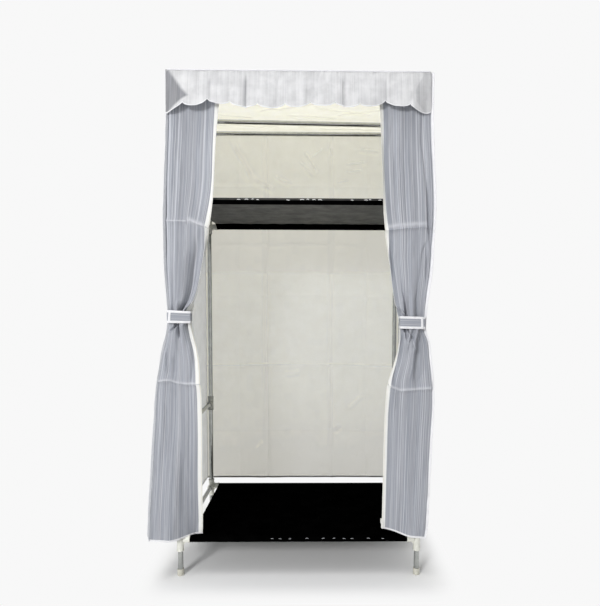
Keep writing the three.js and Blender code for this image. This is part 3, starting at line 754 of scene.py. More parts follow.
def make_cap(corner):
    """A foot cap with two grooves round it."""
    name, side_x, side_y = corner
    outer, height, floor = 10.04, 20.0, 3.0
    profile = [
        (0.0, 0.02), (0.0, 7.2), (0.25, 7.5), (0.7, 7.5), (0.7, 8.3), (0.0, 8.4), (0.0, 9.2), (0.3, 9.75), (0.9, outer),
        (3.2, outer), (3.5, outer - 0.35), (4.1, outer - 0.35), (4.4, outer - 0.02), (5.6, outer - 0.05),
        (5.9, outer - 0.4), (6.5, outer - 0.4), (6.8, outer - 0.08), (height - 1.2, 9.7), (height - 0.4, 9.55),
        (height, 9.1), (height, 8.5), (height - 0.5, BORE_RADIUS), (floor, BORE_RADIUS), (floor, 0.02),
    ]
    build = Build()
    add_lathe(build, profile, [side_x * HALF_WIDTH, side_y * HALF_DEPTH, 0.0], UP, 48)
    made = build.make(f"foot_cap_{name}_moulding", [CAP], angle=40)
    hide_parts(f"foot_cap_{name}")


for corner in CORNERS:
    make_cap(corner)


# ---------------------------------------------------------------- cover cloth

SIDES = (("left", -1), ("right", 1))
# flat sizes of the cover's cloth
STRIP_FLAT = 152.0
WALL_FLAT = 1358  # height of the three walls
SIDE_FLAT = 462
BACK_FLAT = 760
ROOF_FLAT = (763, 467)
# (height, x, y) of each strip's two long edges
OUTER_EDGE = {
    "left": hermite([
        (126, -447.0, -258), (188, -445.6, -255), (335, -438, -246), (483, -429.9, -238), (587, -422.7, -233),
        (631, -415.5, -231.8), (691, -405.6, -231), (750, -390.4, -230.9), (786, -386.1, -230.9),
        (804, -386, -230.8), (839, -388.3, -230.8), (956, -395.5, -230.6), (1073, -396.2, -230.5),
        (1245, -389.3, -230.3), (1359, -384.3, -230.2), (1500, -383.4, -230),
    ]),
    "right": hermite([
        (128, 384.5, -245), (180, 388.7, -243), (301, 394.2, -239), (422, 400, -235.6), (543, 404.7, -233),
        (618, 400.5, -231.7), (677, 394.2, -231), (715, 389.2, -231), (752, 377.5, -230.9), (786, 377.5, -230.9),
        (797, 378.5, -230.8), (841, 383, -230.8), (930, 394.5, -230.7), (1018, 398.1, -230.6), (1134, 402, -230.4),
        (1250, 395.9, -230.3), (1365, 390.9, -230.2), (1501, 391.5, -230),
    ]),
}
INNER_EDGE = {
    "left": hermite([
        (105, -297.2, -198), (139, -296.3, -201.9), (295, -293.3, -218.6), (482, -289.3, -231),
        (587, -290.8, -233), (662, -295.8, -233), (762, -315.9, -232.1), (786, -319.9, -232),
        (804, -319.2, -230.9), (854, -306.7, -217.3), (959, -286.2, -210), (1051, -264.9, -224),
        (1130, -250.4, -231), (1274, -241.4, -230.8), (1402, -231.5, -230.6), (1500, -225.5, -230.5),
    ]),
    "right": hermite([
        (109, 257.5, -205), (140, 255.6, -207), (161.8, 255.7, -208.22), (250, 256.2, -213.2),
        (350, 256.8, -218.9), (441.8, 257.33, -224.15), (542, 260.8, -229.1), (593, 266.6, -230.5),
        (662, 289.4, -231.5), (737, 300.3, -232), (762, 299.3, -232), (786, 296.3, -232), (805, 291.5, -231),
        (886, 281.4, -213.6), (989, 264.5, -218.4), (1053, 253.3, -226.3), (1220, 242.6, -230.8),
        (1406, 234.6, -230.6), (1500, 228.7, -230.5),
    ]),
}
SEAM_INSET = 5.7  # from the silhouette's bound edge to the strip's corner seam
MARGIN = 14.0  # of cloth behind the zip tape, up to the inner edge
MARGIN_SHARE = 0.1  # its share of a strip's grid across
BAND_AT = {"left": 789.0, "right": 775.0}
# how far the margin rolls backwards at each height, where 1 turns it edge-on
ROLL = {
    "left": hermite([
        (125, 0), (640, 0), (720, 0), (760, 0), (800, 0.1), (835, 1), (975, 1), (1075, 0), (1500, 0),
    ]),
    "right": hermite([
        (125, 0), (400, 0), (480, 0), (530, 0), (590, 0.35), (740, 0.85), (775, 0.85), (812, 1), (945, 1),
        (1050, 0), (1500, 0),
    ]),
}
ROLL_ANGLE, ROLL_BEND = math.radians(105), 7.0
STRIP_FOREMOST, STRIP_DEEPEST = -264.0, -205.0
# how far forwards the gathers come, and how far from the band they reach below and above it
GATHER_DEPTH, GATHER_BELOW, GATHER_ABOVE = 13.0, 115, 85
GROOVE_DEPTH = 3.2  # of the groove beside the corner seam
# how much further back than its foremost the strip stays under the tie band, and where it stays behind
# the valance
UNDER_BAND = 13.6
VALANCE_BOTTOM, UNDER_VALANCE = 1350, -233.6
HEM_RISE = {"left": -1.5, "right": 13.0}
HEM_DIP = {"left": 3.0, "right": 0.0}
STRIP_HEM = 125.0
TAPE_WIDTH = {"left": 12.6, "right": 9.8}
# rows of a strip's grid: (from, to, step) in height
ROW_SPANS = (
    (125, 520, 5.0), (520, 630, 2.0), (630, 690, 3.0), (690, 880, 2.0), (880, 1020, 4.0), (1020, 1090, 2.0),
    (1090, 1498, 5.0),
)
# sections of the trims: (distance in from the edge, lift)
TAPE_SECTION = [(8.0, 0.6), (6.2, 0.6), (4.4, 0.6), (2.6, 0.6), (1.2, 0.6), (0.2, 0.55), (-0.6, 0.4)]
HEM_SECTION = [
    (4.9, 0.42), (4.3, 0.52), (2.4, 0.52), (0.3, 0.5), (-0.45, 0.3), (-0.62, 0.0), (-0.45, -0.3), (0.3, -0.5),
    (4.3, -0.52), (4.9, -0.42),
]
TAPE_THICKNESS, HEM_THICKNESS = 0.45, 0.36
# the zip's coil: (place along a loop, its radius)
LOOP_PROFILE = ((-1.7, 0.35), (-1.2, 0.62), (0.9, 0.62), (1.5, 0.35))
LOOP_SIDES, TOOTH_PITCH, COIL_LIFT = 6, 2.4, 0.95
# how far back the corner seam's edge lies at each height
FLANGE_HEIGHTS, FLANGE_LEAN = [126, 700, 790, 900, 1500], [1.5, 2.2, 3.5, 4.2, 4.6]

# folds: rows of (height, x, depth backwards, half width)
FOLDS = {
    "left": [
        [(786, -345, 10, 5), (808, -345.4, 10, 6), (821, -340, 9, 7), (835, -332, 8, 8), (857, -324, 7, 9),
         (903, -314.5, 6, 11), (959, -306.6, 5, 12), (988, -300.5, 3.5, 12), (1040, -296, 0, 12)],
        [(786, -337, -6, 5), (808, -336, -6, 5), (823, -322.6, -5, 6), (838, -306, -2, 6), (850, -300, 0, 6)],
        [(786, -357, -5, 8), (808, -357, -5, 9), (825, -355, -3.5, 7), (840, -354, 0, 6)],
        [(786, -326, 4, 4), (800, -325, 4, 4), (824, -313.8, 4, 5), (839, -302, 0, 5)],
        [(786, -373, 5, 6), (810, -371, 4, 6), (840, -369.3, 2.5, 7), (897, -368.6, 1.5, 8), (985, -370, 0, 8)],
        [(600, -370, 0, 9), (626, -369, 3, 9), (662, -366, 3, 9), (697, -362, 0, 8)],
        [(741, -384, 0, 6), (752, -373, 4, 6), (757, -366, 5, 6), (764, -360, 8, 5), (786, -359, 10, 5)],
        [(655, -364, 0, 14), (697, -364, -3, 14), (720, -363, -5, 12), (745, -360, -5, 8), (764, -356, -4, 4),
         (786, -355, -3, 4)],
        [(722, -350.7, 0, 3), (745, -352, 5, 3), (766, -353, 6, 3), (786, -353, 6, 3)],
        [(650, -335, 0, 12), (700, -337, -2, 12), (735, -339, -4, 9), (766, -341, -5, 7), (786, -341, -5, 7)],
        [(560, -318, 0, 9), (606, -316, 4, 9), (662, -311, 5, 9), (700, -313, 5, 8), (733, -321, 4, 6),
         (757, -328, 5, 4.5), (770, -330, 8, 4), (786, -330, 8, 4)],
        [(608, -386, 0, 8), (632, -387, 3, 8), (668, -389, 3, 7), (705, -386, 0, 6)],
    ],
    "right": [
        [(988, 388, 0, 4), (1029, 385, 4, 4), (1050, 381, 6, 4), (1147, 377, 6, 4), (1219, 370.4, 5, 4),
         (1294, 360.7, 6, 4), (1368, 359.7, 4, 4), (1400, 359, 0, 3)],
        [(786, 355, 10, 10), (800, 355.6, 11, 11), (841, 356.5, 11, 12), (870, 362, 10, 12), (915, 369, 9, 11),
         (953, 371, 8, 10), (991, 372, 5, 8), (1015, 376, 0, 6)],
        [(786, 317, 10, 5), (800, 316.7, 10, 5), (841, 315.6, 7, 5.5), (870, 311.7, 4, 6), (910, 308, 0, 6)],
        [(786, 334, -4, 10), (841, 334, -4, 12), (900, 332, -2, 14), (965, 330, 0, 14)],
        [(786, 313, 0, 4), (797, 312, -5, 4), (810, 299, -5, 4.5), (821, 287, -4, 4), (832, 280, 0, 4)],
        [(815, 284, 0, 5), (841, 284, 4, 6), (900, 283, 5, 7), (952, 280, 5, 7), (1002, 273, 4, 6),
         (1040, 268.5, 0, 5)],
        [(700, 323, 0, 3), (722, 320, 3, 3), (743, 317, 5, 4), (754, 314.5, 9, 6), (775, 314, 10, 7)],
        [(640, 318, 0, 8), (690, 318, -3, 8), (722, 323, -5, 6), (745, 329, -5, 5), (756, 330, -3, 5)],
        [(715, 343, 0, 4), (731, 334, 3, 4), (750, 324, 5, 3), (764, 322, 5, 3)],
        [(560, 356, 0, 16), (606, 357, 6, 18), (634, 360, 11, 19), (657, 360, 13, 19), (682, 359, 13, 17),
         (710, 360, 12, 14), (735, 362, 11, 10), (751, 364, 10, 8), (775, 365, 10, 6)],
        [(600, 334, 0, 14), (640, 336, -7, 13), (690, 337, -9, 12), (720, 341, -7, 9), (745, 347, -6, 7),
         (758, 348, -4, 6)],
        [(684, 348, 0, 9), (698, 345, -4, 9), (708, 338, -4, 9), (722, 334, 0, 8)],
        [(580, 283, 0, 7), (615, 286, 4, 7), (657, 295, 5, 7), (693, 303, 5, 6), (728, 307, 4, 5), (748, 307, 0, 4)],
    ],
}
# creases: rows of (x, height, size), then how far each reaches above and below
CREASES = {
    "left": [
        ([(-421, 597, 9), (-396, 600.5, 9), (-378, 600.8, 9), (-355, 593.3, 9), (-331, 590.7, 9),
          (-290, 591, 9)], 22, 6),
        ([(-400, 1070, 6), (-360, 1069, 6), (-333, 1068, 5), (-326, 1069, 0)], 6, 8),
        ([(-326, 1071, 0), (-318, 1070, 6), (-302.6, 1063, 9), (-285, 1056, 10), (-262, 1048, 10)], 14, 5),
    ],
    "right": [
        ([(262, 592, 9), (280.7, 579.2, 9), (303.2, 570.2, 9), (337.6, 573.2, 9), (396, 577.5, 9)], 24, 6),
        ([(250, 1044, 9), (290.5, 1048.6, 9), (343.4, 1051.8, 9), (372, 1053.4, 7), (390, 1055, 3)], 17, 5),
    ],
}
# painted highlights along the creases: rows of (x, height, share), then the half width and strength
CREASE_HIGHLIGHTS = {
    "left": [
        ([(-421, 599, 1), (-396, 602.5, 1), (-378, 602.8, 0.8), (-355, 595.3, 0.9), (-331, 592.7, 1),
          (-290, 593, 1)], 3.2, 0.75),
        ([(-396, 1071, 1), (-360, 1070, 1), (-327, 1069, 0.9)], 1.8, 0.8),
        ([(-330, 1074, 0.5), (-318, 1072, 1), (-302, 1066, 1), (-285, 1059, 1), (-264, 1052, 1)], 6.5, 0.85),
    ],
    "right": [
        ([(262, 594, 1), (280.7, 582, 0.9), (303.2, 573.2, 1), (337.6, 576.2, 1), (396, 580.5, 0.9)], 3.6, 0.75),
        ([(250, 1056, 1), (290, 1061, 1), (343, 1064, 1), (380, 1066, 0.7)], 6.0, 0.6),
    ],
}


def strip_rows():
    """Shares of a strip's height where its rows are, closer together where folds and creases are fine."""
    heights = np.concatenate([np.arange(*span) for span in ROW_SPANS] + [[STRIP_TOP]])
    return (heights - STRIP_HEM) / (STRIP_TOP - STRIP_HEM)


def rolled_margin(roll, run):
    """Reach inwards and backwards of the margin at each run of cloth along it."""
    fine = np.linspace(0, MARGIN, 49)
    angle = roll[:, None] * ROLL_ANGLE * smoothstep(fine, 0, ROLL_BEND)[None, :]
    step = fine[1] - fine[0]
    inwards = np.cumsum(np.cos(angle), axis=1) * step - step
    backwards = np.cumsum(np.sin(angle), axis=1) * step

    def pick(field):
        return np.array([np.interp(run, fine, row) for row in field])

    return pick(inwards) - inwards.max(axis=1)[:, None], pick(backwards)


def strip_sheet(side, sign):
    """A gathered front strip, between its two measured edges."""
    body_share = 1 - MARGIN_SHARE
    s_values = np.concatenate([np.linspace(0, body_share, 100)[:-1], np.linspace(body_share, 1, 15)])
    t_values = strip_rows()
    s, t = np.meshgrid(s_values, t_values)
    run = np.clip(s_values - body_share, 0, None) / MARGIN_SHARE * MARGIN
    height = STRIP_HEM + t_values * (STRIP_TOP - STRIP_HEM)
    inwards, backwards = rolled_margin(ROLL[side](height)[:, 0], run)
    low = STRIP_HEM + HEM_RISE[side] * s - HEM_DIP[side] * 4 * s * (1 - s)
    z = low + t * (STRIP_TOP - low)
    outer, inner = OUTER_EDGE[side](z), INNER_EDGE[side](z)
    x_seam = outer[..., 0] - sign * SEAM_INSET
    x_margin = inner[..., 0] - sign * inwards[:, :1]
    x = x_seam + (x_margin - x_seam) * np.clip(s / body_share, 0, 1)
    x = np.where(run[None, :] > 0, inner[..., 0] - sign * inwards, x)
    share = np.clip((x - x_seam) / (inner[..., 0] - x_seam), 0, 1)
    y = outer[..., 1] + (inner[..., 1] - outer[..., 1]) * smoothstep(share, 0.35, 0.95)
    middle = BAND_AT[side]
    gather = bell(z - middle, np.where(z < middle, GATHER_BELOW, GATHER_ABOVE))
    y = y - GATHER_DEPTH * gather * np.sin(math.pi * share) ** 0.5
    # a groove beside the corner seam, above the band
    groove = bell(np.abs(x - x_seam) - 2.2, 1.5) * smoothstep(z, 805, 900) * smoothstep(WALL_TOP - z, 90, 140)
    y = y + GROOVE_DEPTH * groove
    for nodes in FOLDS[side]:
        y = y + fold(x, z, nodes) * (1 + 0.3 * gather)
    for nodes, above, below in CREASES[side]:
        y = y + crease(x, z, nodes, above, below)
    # the lower inner edge stays smooth, because the zip's slider runs along it
    smooth_run = 1 - (1 - smoothstep(np.abs(inner[..., 0] - x), 16, 36)) * (1 - smoothstep(z, 475, 540))
    fade = smoothstep(WALL_TOP - z, 0, 60) * smooth_run
    free = 1 - bell(z - middle, 22)
    y = y + fade * free * 3.4 * soft_noise(x, z, 38, 150, 11 + sign)
    y = y + fade * 1.3 * soft_noise(x, z, 15, 55, 21 + sign)
    y = y + fade * 0.35 * soft_noise(x, z, 6, 18, 31 + sign)
    # no deeper than the post behind it, and flat under the tie band and the valance
    before_post = np.abs(np.abs(x) - HALF_WIDTH) < TUBE_RADIUS + 6.0
    post_face = -HALF_DEPTH - TUBE_RADIUS - 2.2
    deepest = np.where(before_post, post_face, np.minimum(inner[..., 1] + 9.0, STRIP_DEEPEST))
    foremost = STRIP_FOREMOST + UNDER_BAND * (1 - smoothstep(np.abs(z - middle), 19, 40))
    y = np.clip(y, foremost, deepest)
    y = np.where(z > VALANCE_BOTTOM, np.clip(y, UNDER_VALANCE, deepest), y)
    return Sheet(x, y + backwards, z, s_values, t_values, -sign)


def strip_crease_highlights(side, sheet):
    """Painted highlight along the sharp creases, where they catch the light, and in patches beside them."""
    x, z = sheet.grid[..., 0], sheet.grid[..., 2]
    painted_shading = np.zeros(x.shape)
    patchy = 0.75 + 0.25 * soft_noise(x, z, 9, 5, 161)
    for nodes, width, amount in CREASE_HIGHLIGHTS[side]:
        _, line, size = columns_of(nodes, x, 0)
        first, last = nodes[0][0], nodes[-1][0]
        inside = smoothstep(x, first - 1, first + 4) * (1 - smoothstep(x, last - 4, last + 1))
        painted_shading = np.maximum(painted_shading, amount * size * inside * patchy * bell(z - line, width))
    return painted_shading


def strip_trims(side, sign, sheet):
    """Zip tape and coil up the inner edge, stitching, and binding along the hem."""
    name, height = f"front_strip_{side}", STRIP_TOP - STRIP_HEM
    rows = np.linspace(0.002, 0.998, 420)
    in_margin = MARGIN_SHARE / MARGIN
    wide = TAPE_WIDTH[side]
    section = np.array([(wide, 0.5), (wide - 0.6, 0.58)] + TAPE_SECTION)
    inset, lift = section.T
    grid = sheet.at(1 - inset[None, :] * in_margin, rows[:, None], lift[None, :])
    build = Build()
    add_cloth(build, grid, flat_grid(run_along(section), rows * height), TAPE_THICKNESS, -sign, lined=False)
    trims = [build.make(f"{name}_zip_tape", [ZIP_TAPE])]

    # the coil: one loop of nylon for each tooth, at the tape's free edge
    teeth = np.arange(0.004, 0.997, TOOTH_PITCH / height)
    coil_at = 1 - 1.6 * in_margin
    base = sheet.at(coil_at, teeth, COIL_LIFT)
    outward = unit(base - sheet.at(coil_at - 2 * in_margin, teeth, COIL_LIFT))
    tangent = unit(sheet.at(coil_at, teeth + 0.0005, COIL_LIFT) - base)
    normal = np.cross(outward, tangent)
    rings = []
    for reach, size in LOOP_PROFILE:
        for k in range(LOOP_SIDES):
            angle = 2 * math.pi * k / LOOP_SIDES
            rings.append(base + outward * reach + size * (tangent * math.cos(angle) + normal * math.sin(angle)))
    build = Build()
    add_loops(build, np.stack(rings, axis=1), LOOP_SIDES)
    trims.append(build.make(f"{name}_zip_coil", [COIL]))

    build = Build()
    for inset in (wide - 1.6, 4.2):
        add_stitches(build, sheet, 1 - inset * in_margin, rows, 0.9)
    add_stitches(build, sheet, np.linspace(0.01, 0.93, 60), 3.6 / height, 0.78)
    trims.append(build.make(f"{name}_stitching", [THREAD]))

    build = Build()
    add_binding(build, sheet, np.linspace(-0.004, 1.004, 92), 150, height, HEM_SECTION, HEM_THICKNESS)
    trims.append(build.make(f"{name}_hem", [BINDING]))
    return trims


def corner_flange(side, sign):
    """The corner seam's two raw edges under a binding that stands out past the corner."""
    z = np.linspace(STRIP_HEM + 0.4, STRIP_TOP, 320)
    tip = OUTER_EDGE[side](z)
    root = tip[:, 0] - sign * SEAM_INSET
    width = (tip[:, 0] - root) * (0.25 + 0.75 * smoothstep(z, STRIP_HEM, STRIP_HEM + 22))
    back = np.interp(z, FLANGE_HEIGHTS, FLANGE_LEAN)
    wave = 0.5 * soft_noise(z * 0 + 5, z, 40, 38, 77 + sign)
    shares = np.linspace(0, 1, 5)
    grid = np.array([np.stack([root + width * k + wave * k, tip[:, 1] - back * k + wave, z], axis=-1) for k in shares])
    build = Build()
    add_cloth(build, grid, flat_grid(z, shares * 7)[..., ::-1], 1.3, sign, lined=False)
    add_cord(build, grid[-1][::2], 0.95, 8, 1)
    # the left flange gets the grey copy of the binding: painted shade
    return build.make(
        f"corner_seam_{side}_binding", [GREY_TRIM if side == "left" else BINDING, BINDING]
    )


for side, sign in SIDES:
    sheet = strip_sheet(side, sign)
    across = np.interp(sheet.s_values, [0, 1 - MARGIN_SHARE, 1], [0, STRIP_FLAT - MARGIN, STRIP_FLAT])
    flat = flat_grid(across + (400 if sign > 0 else 0), sheet.t_values * (STRIP_TOP - STRIP_HEM))
    cloth = make_cloth(f"front_strip_{side}_cloth", sheet.grid, flat, [STRIPED, REVERSE], -sign)
    mark(cloth, strip_crease_highlights(side, sheet))
    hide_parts(f"front_strip_{side}")
    trims = strip_trims(side, sign, sheet)
    trims.append(corner_flange(side, sign))


# creases of the side walls: (height, size) and (y, size)
SIDE_LEVELS = ((592, 2.2), (1064, 2.0), (330, 1.2))
SIDE_UPRIGHTS = ((-75, 1.8), (75, -1.5))


def side_wall(side, sign):
    s_values, t_values = np.linspace(0, 1, 64), np.linspace(0, 1, 190)
    s, t = np.meshgrid(s_values, t_values)
    z = WALL_HEM + t * (WALL_TOP - WALL_HEM)
    edge = OUTER_EDGE[side](z)
    front_x = edge[..., 0] - sign * SEAM_INSET
    front_y = edge[..., 1] + 1.4
    back_x = sign * COVER_HALF_WIDTH
    y = front_y + (BACK_PLANE - 0.8 - front_y) * s
    x = back_x + (front_x - back_x) * (1 - smoothstep(s, 0.0, 0.8))
    bulge = crumple(y, z, (2.2, 90, 260, 41 + sign), (1.2, 30, 90, 43 + sign), (0.4, 11, 30, 45))
    for level, size in SIDE_LEVELS:
        bulge = bulge + size * ridge(z - level - 5 * soft_noise(y, z * 0, 120, 50, 47), 9)
    for middle_y, size in SIDE_UPRIGHTS:
        bulge = bulge + size * ridge(y - middle_y - 4 * soft_noise(y * 0, z, 50, 300, 49), 8)
    fade = np.sin(math.pi * s) ** 0.5 * smoothstep(WALL_TOP - z, 0, 40)
    return Sheet(x + sign * fade * np.clip(bulge, -2.6, 5), y, z, s_values, t_values, sign)


def wall_hem(name, sheet, length, material):
    """Binding along the lower hem of a wall."""
    build = Build()
    add_binding(build, sheet, np.linspace(0.0, 1.0, 120), length, WALL_FLAT, HEM_SECTION, HEM_THICKNESS)
    return build.make(name, [material])


for side, sign in SIDES:
    sheet = side_wall(side, sign)
    flat = flat_grid(sheet.s_values * SIDE_FLAT + 1000, sheet.t_values * WALL_FLAT)
    wall = make_cloth(f"side_wall_{side}_cloth", sheet.grid, flat, [STRIPED, SHADED_REVERSE], sign)
    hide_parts(f"side_wall_{side}")
    hem = wall_hem(f"side_wall_{side}_hem", sheet, SIDE_FLAT, BINDING)


# packing creases of the back wall: place, how far they stand out, how much painted shade they get and how bright their
# painted highlight
UPRIGHT_CREASES = ((-140, 3.8, 0.8), (116, -3.4, 0.55), (-250, 1.6, 0.04), (250, 1.8, 0.04))
LEVEL_CREASES = (
    (593, 4.4, 0.5, 0.6), (1065, -2.8, 0.8, 0.0), (865, 1.2, 0.03, 0.0), (330, -1.6, 0.06, 0.0), (1290, 1.6, 0.06, 0.0),
)
# slack wrinkles of the back wall: (x, height) of both ends, half width and how much painted shade they get (below 0: a
# painted highlight on the line)
WALL_WRINKLES = (
    ((-277, 1462), (-183, 1312), 13, 0.8), ((-190, 1322), (-108, 1278), 10, 0.6), ((8, 1426), (58, 1340), 6, 0.9),
    ((30, 1402), (78, 1438), 3.5, 0.8), ((-108, 1334), (-40, 1298), 6, 0.7), ((168, 1379), (246, 1386), 5, 0.8),
    ((172, 1349), (232, 1357), 5, 0.8), ((132, 1306), (178, 1313), 5, 0.7), ((108, 1440), (113, 1404), 4, 0.8),
    ((-10, 1386), (40, 1330), 5, 0.6), ((215, 1440), (300, 1424), 7, 0.6), ((-120, 1250), (20, 1196), 8, 0.4),
    ((-190, 256), (-146, 296), 7, -0.26), ((-158, 300), (-130, 254), 7, 0.5), ((180, 422), (238, 474), 7, -0.28),
    ((-74, 562), (-8, 573), 8, -0.4), ((120, 328), (154, 348), 8, 0.45),
)


def wall_shading(x, z):
    """How dark the back wall's broad areas are painted: painted shade under the shelf, and darker towards the right and
    low down.
    """
    shelf_shade = smoothstep(z + 6 * soft_noise(x, z * 0, 120, 50, 58), 953, 965) * smoothstep(z, 1140, 1120)
    low = 0.2 * smoothstep(z, 596, 592) + 0.9 * smoothstep(z, 590, 150)
    return 0.9 * shelf_shade + 0.14 * smoothstep(x, 150, 330) + low


def back_wall_sheet():
    """The back wall's cloth, and how dark each point of it is painted: painted shade along its creases and wrinkles and
    under the shelf, painted highlights beside some creases.
    """
    s_values, t_values = np.linspace(0, 1, 240), np.linspace(0, 1, 420)
    s, t = np.meshgrid(s_values, t_values)
    x = -COVER_HALF_WIDTH + s * 2 * COVER_HALF_WIDTH
    z = WALL_HEM + t * (WALL_TOP - WALL_HEM)
    push = crumple(x, z, (2.2, 150, 190, 61), (1.6, 52, 64, 62), (0.5, 17, 21, 63))
    painted_shading = 0.14 * smoothstep(soft_noise(x, z, 170, 210, 66), -0.2, 0.9)
    painted_shading = painted_shading + 0.04 * smoothstep(soft_noise(x, z, 30, 36, 67), 0.1, 0.8)
    for middle_x, size, dark in UPRIGHT_CREASES:
        d = x - middle_x - 3 * soft_noise(x * 0, z, 50, 240, 64)
        push = push + size * ridge(d, 7)
        painted_shading = painted_shading + dark * (0.7 + 0.5 * soft_noise(x * 0, z, 50, 60, 68)) * ridge(d - 1.5, 2.2)
        painted_shading = painted_shading + 0.75 * dark * (0.8 + 0.6 * soft_noise(x * 0, z, 50, 130, 70)) * bell(d + 7, 8)
    for level, size, dark, bright in LEVEL_CREASES:
        d = z - level - 4 * soft_noise(x, z * 0, 160, 50, 65)
        push = push + size * ridge(d, 6)
        painted_shading = painted_shading + dark * (0.6 + 0.6 * soft_noise(x, z * 0, 70, 50, 69)) * ridge(d + 1.5, 2.2)
        painted_shading = painted_shading - bright * smoothstep(soft_noise(x, z * 0, 60, 50, 60), -0.3, 0.5) * bell(d - 4, 3)
    for (start_x, start_z), (end_x, end_z), width, dark in WALL_WRINKLES:
        length = math.hypot(end_x - start_x, end_z - start_z)
        along = ((x - start_x) * (end_x - start_x) + (z - start_z) * (end_z - start_z)) / length**2
        off = ((x - start_x) * (end_z - start_z) - (z - start_z) * (end_x - start_x)) / length
        off = off - 3 * soft_noise(x, z, 40, 40, 59)
        within = smoothstep(along, -0.05, 0.25) * (1 - smoothstep(along, 0.75, 1.05))
        push = push + 1.4 * abs(dark) * within * bell(off, width)
        painted_shading = painted_shading + within * dark * (bell(off, width) - 0.5 * bell(off - 1.8 * width, width))
    edge = smoothstep(1 - np.abs(2 * s - 1), 0, 0.06) * smoothstep(WALL_TOP - z, 0, 30)
    y = BACK_PLANE + edge * np.clip(push + 0.6, -0.9, 7)
    return Sheet(x, y, z, s_values, t_values, -1), painted_shading + wall_shading(x, z)


sheet, painted_shading = back_wall_sheet()
flat = flat_grid(sheet.s_values * BACK_FLAT, sheet.t_values * WALL_FLAT)
wall = make_cloth("back_wall_cloth", sheet.grid, flat, [CREAM, CREAM], -1)
mark(wall, painted_shading)
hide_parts("back_wall")
hem = wall_hem("back_wall_hem", sheet, BACK_FLAT, CREAM)


# wrinkles seen under the roof: x and y where each starts and ends, and its depth, which also sets its painted shade
ROOF_WRINKLES = (
    (-240, -60, -60, 20, 1.8), (-150, 30, 60, -30, 1.5), (40, -10, 250, 60, 2.2), (120, 60, 300, 10, 1.8),
    (-320, 150, -80, 168, 1.6), (-60, 60, 130, 84, 1.4), (180, -40, 340, 30, 1.8), (-20, 160, 200, 150, 1.4),
    (-300, 60, -170, 90, 1.4), (60, 180, 320, 196, 1.6),
)


def roof_sheet():
    """The roof's cloth, which sags between the rails, and its painted shade and highlight beside each wrinkle."""
    front, back = FRONT_PLANE - 5.0, BACK_PLANE + 1.0
    half = COVER_HALF_WIDTH + 1.4
    s_values, t_values = np.linspace(0, 1, 140), np.linspace(0, 1, 90)
    s, t = np.meshgrid(s_values, t_values)
    x, y = -half + s * 2 * half, front + t * (back - front)
    edge = smoothstep(1 - np.abs(2 * s - 1), 0, 0.14) * smoothstep(1 - np.abs(2 * t - 1), 0, 0.2)
    over_cross_rail = bell(y - (114 + 0.036 * x), 26)
    sag = -3.6 * edge * (1 - 0.75 * over_cross_rail) + edge * crumple(x, y, (0.9, 60, 45, 71), (0.4, 19, 16, 72))
    painted_shading = 0.1 + 0 * x
    for start_x, start_y, end_x, end_y, size in ROOF_WRINKLES:
        share = np.clip((x - start_x) / (end_x - start_x), 0, 1)
        off = y - (start_y + (end_y - start_y) * share + 5 * soft_noise(x, x * 0, 40, 50, 73))
        within = smoothstep(x, start_x, start_x + 15) * (1 - smoothstep(x, end_x - 15, end_x))
        sag = sag - size * within * ridge(off, 6)
        # painted shade just behind each wrinkle's crest, painted highlight in front of it
        painted_shading = painted_shading + within * size * (0.7 * ridge(off - 2, 5) - 0.3 * bell(off + 9, 6))
    return Sheet(x, y, ROOF_HEIGHT + np.minimum(sag, 0.6), s_values, t_values, 1), painted_shading


sheet, painted_shading = roof_sheet()
flat = flat_grid(sheet.s_values * ROOF_FLAT[0], sheet.t_values * ROOF_FLAT[1])
roof = make_cloth("roof_cloth", sheet.grid, flat, [ROOF_CREAM, ROOF_CREAM], 1)
mark(roof, painted_shading)
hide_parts("roof")


def roof_seam():
    """The line of the roof's seam, a loop with rounded corners."""
    radius = 9.0
    half, front, back, top = COVER_HALF_WIDTH + 2.0, FRONT_PLANE - 5.6, BACK_PLANE + 1.6, ROOF_HEIGHT - 0.6
    path = []
    for x, y, start in ((half, back, 0), (-half, back, 90), (-half, front, 180), (half, front, 270)):
        centre_x, centre_y = x - math.copysign(radius, x), y - math.copysign(radius, y)
        for step in range(7):
            angle = math.radians(start + step * 15)
            path.append((centre_x + radius * math.cos(angle), centre_y + radius * math.sin(angle), top))
    path = np.array(path)
    dense = []
    for first, second in zip(path, np.roll(path, -1, axis=0)):
        count = max(1, int(np.linalg.norm(second - first) / 12))
        dense.extend(first + (second - first) * k / count for k in range(count))
    dense = np.array(dense)
    dense[:, 2] += 0.35 * soft_noise(dense[:, 0], dense[:, 1], 30, 30, 81)
    return dense


# piping round the roof and down the back corners
build = Build()
seam = roof_seam()
build.add(tube_grid(seam, 1.9, 12, closed=True), looped_faces(len(seam), 12))
for sign in (-1, 1):
    z = np.linspace(WALL_HEM - 1, WALL_TOP - 2, 160)
    x = sign * (COVER_HALF_WIDTH + 0.9) + 0.3 * soft_noise(z, z, 40, 33, 83)
    add_cord(build, np.stack([x, 0 * z + BACK_PLANE + 0.9, z], axis=-1), 1.7)
piping = build.make("cover_piping", [BINDING])


# ---------------------------------------------------------------- valance

VALANCE_HALF = 383.0
VALANCE_DROP = 112.0
VALANCE_SEAM = 1499.0
# the scallops: where they meet and how far down, how far down both ends hang, how much further each one reaches
CUSPS = [-331, -261, -196, -118, -39, 33, 105, 175, 248, 319]
CUSP_DROPS = [98, 88, 97, 101, 101, 96, 96, 99, 87, 98]
END_DROPS = (124.0, 112.0)
LOBE_DEPTHS = np.array([3, 13, 10, 12, 13, 13, 11, 12, 14, 12, 12], dtype=float)
VALANCE_CREASES = ((-150, 7.0), (124, -5.5), (-253, 3.0), (253, 3.2), (20, -2.5), (-60, 2.0))
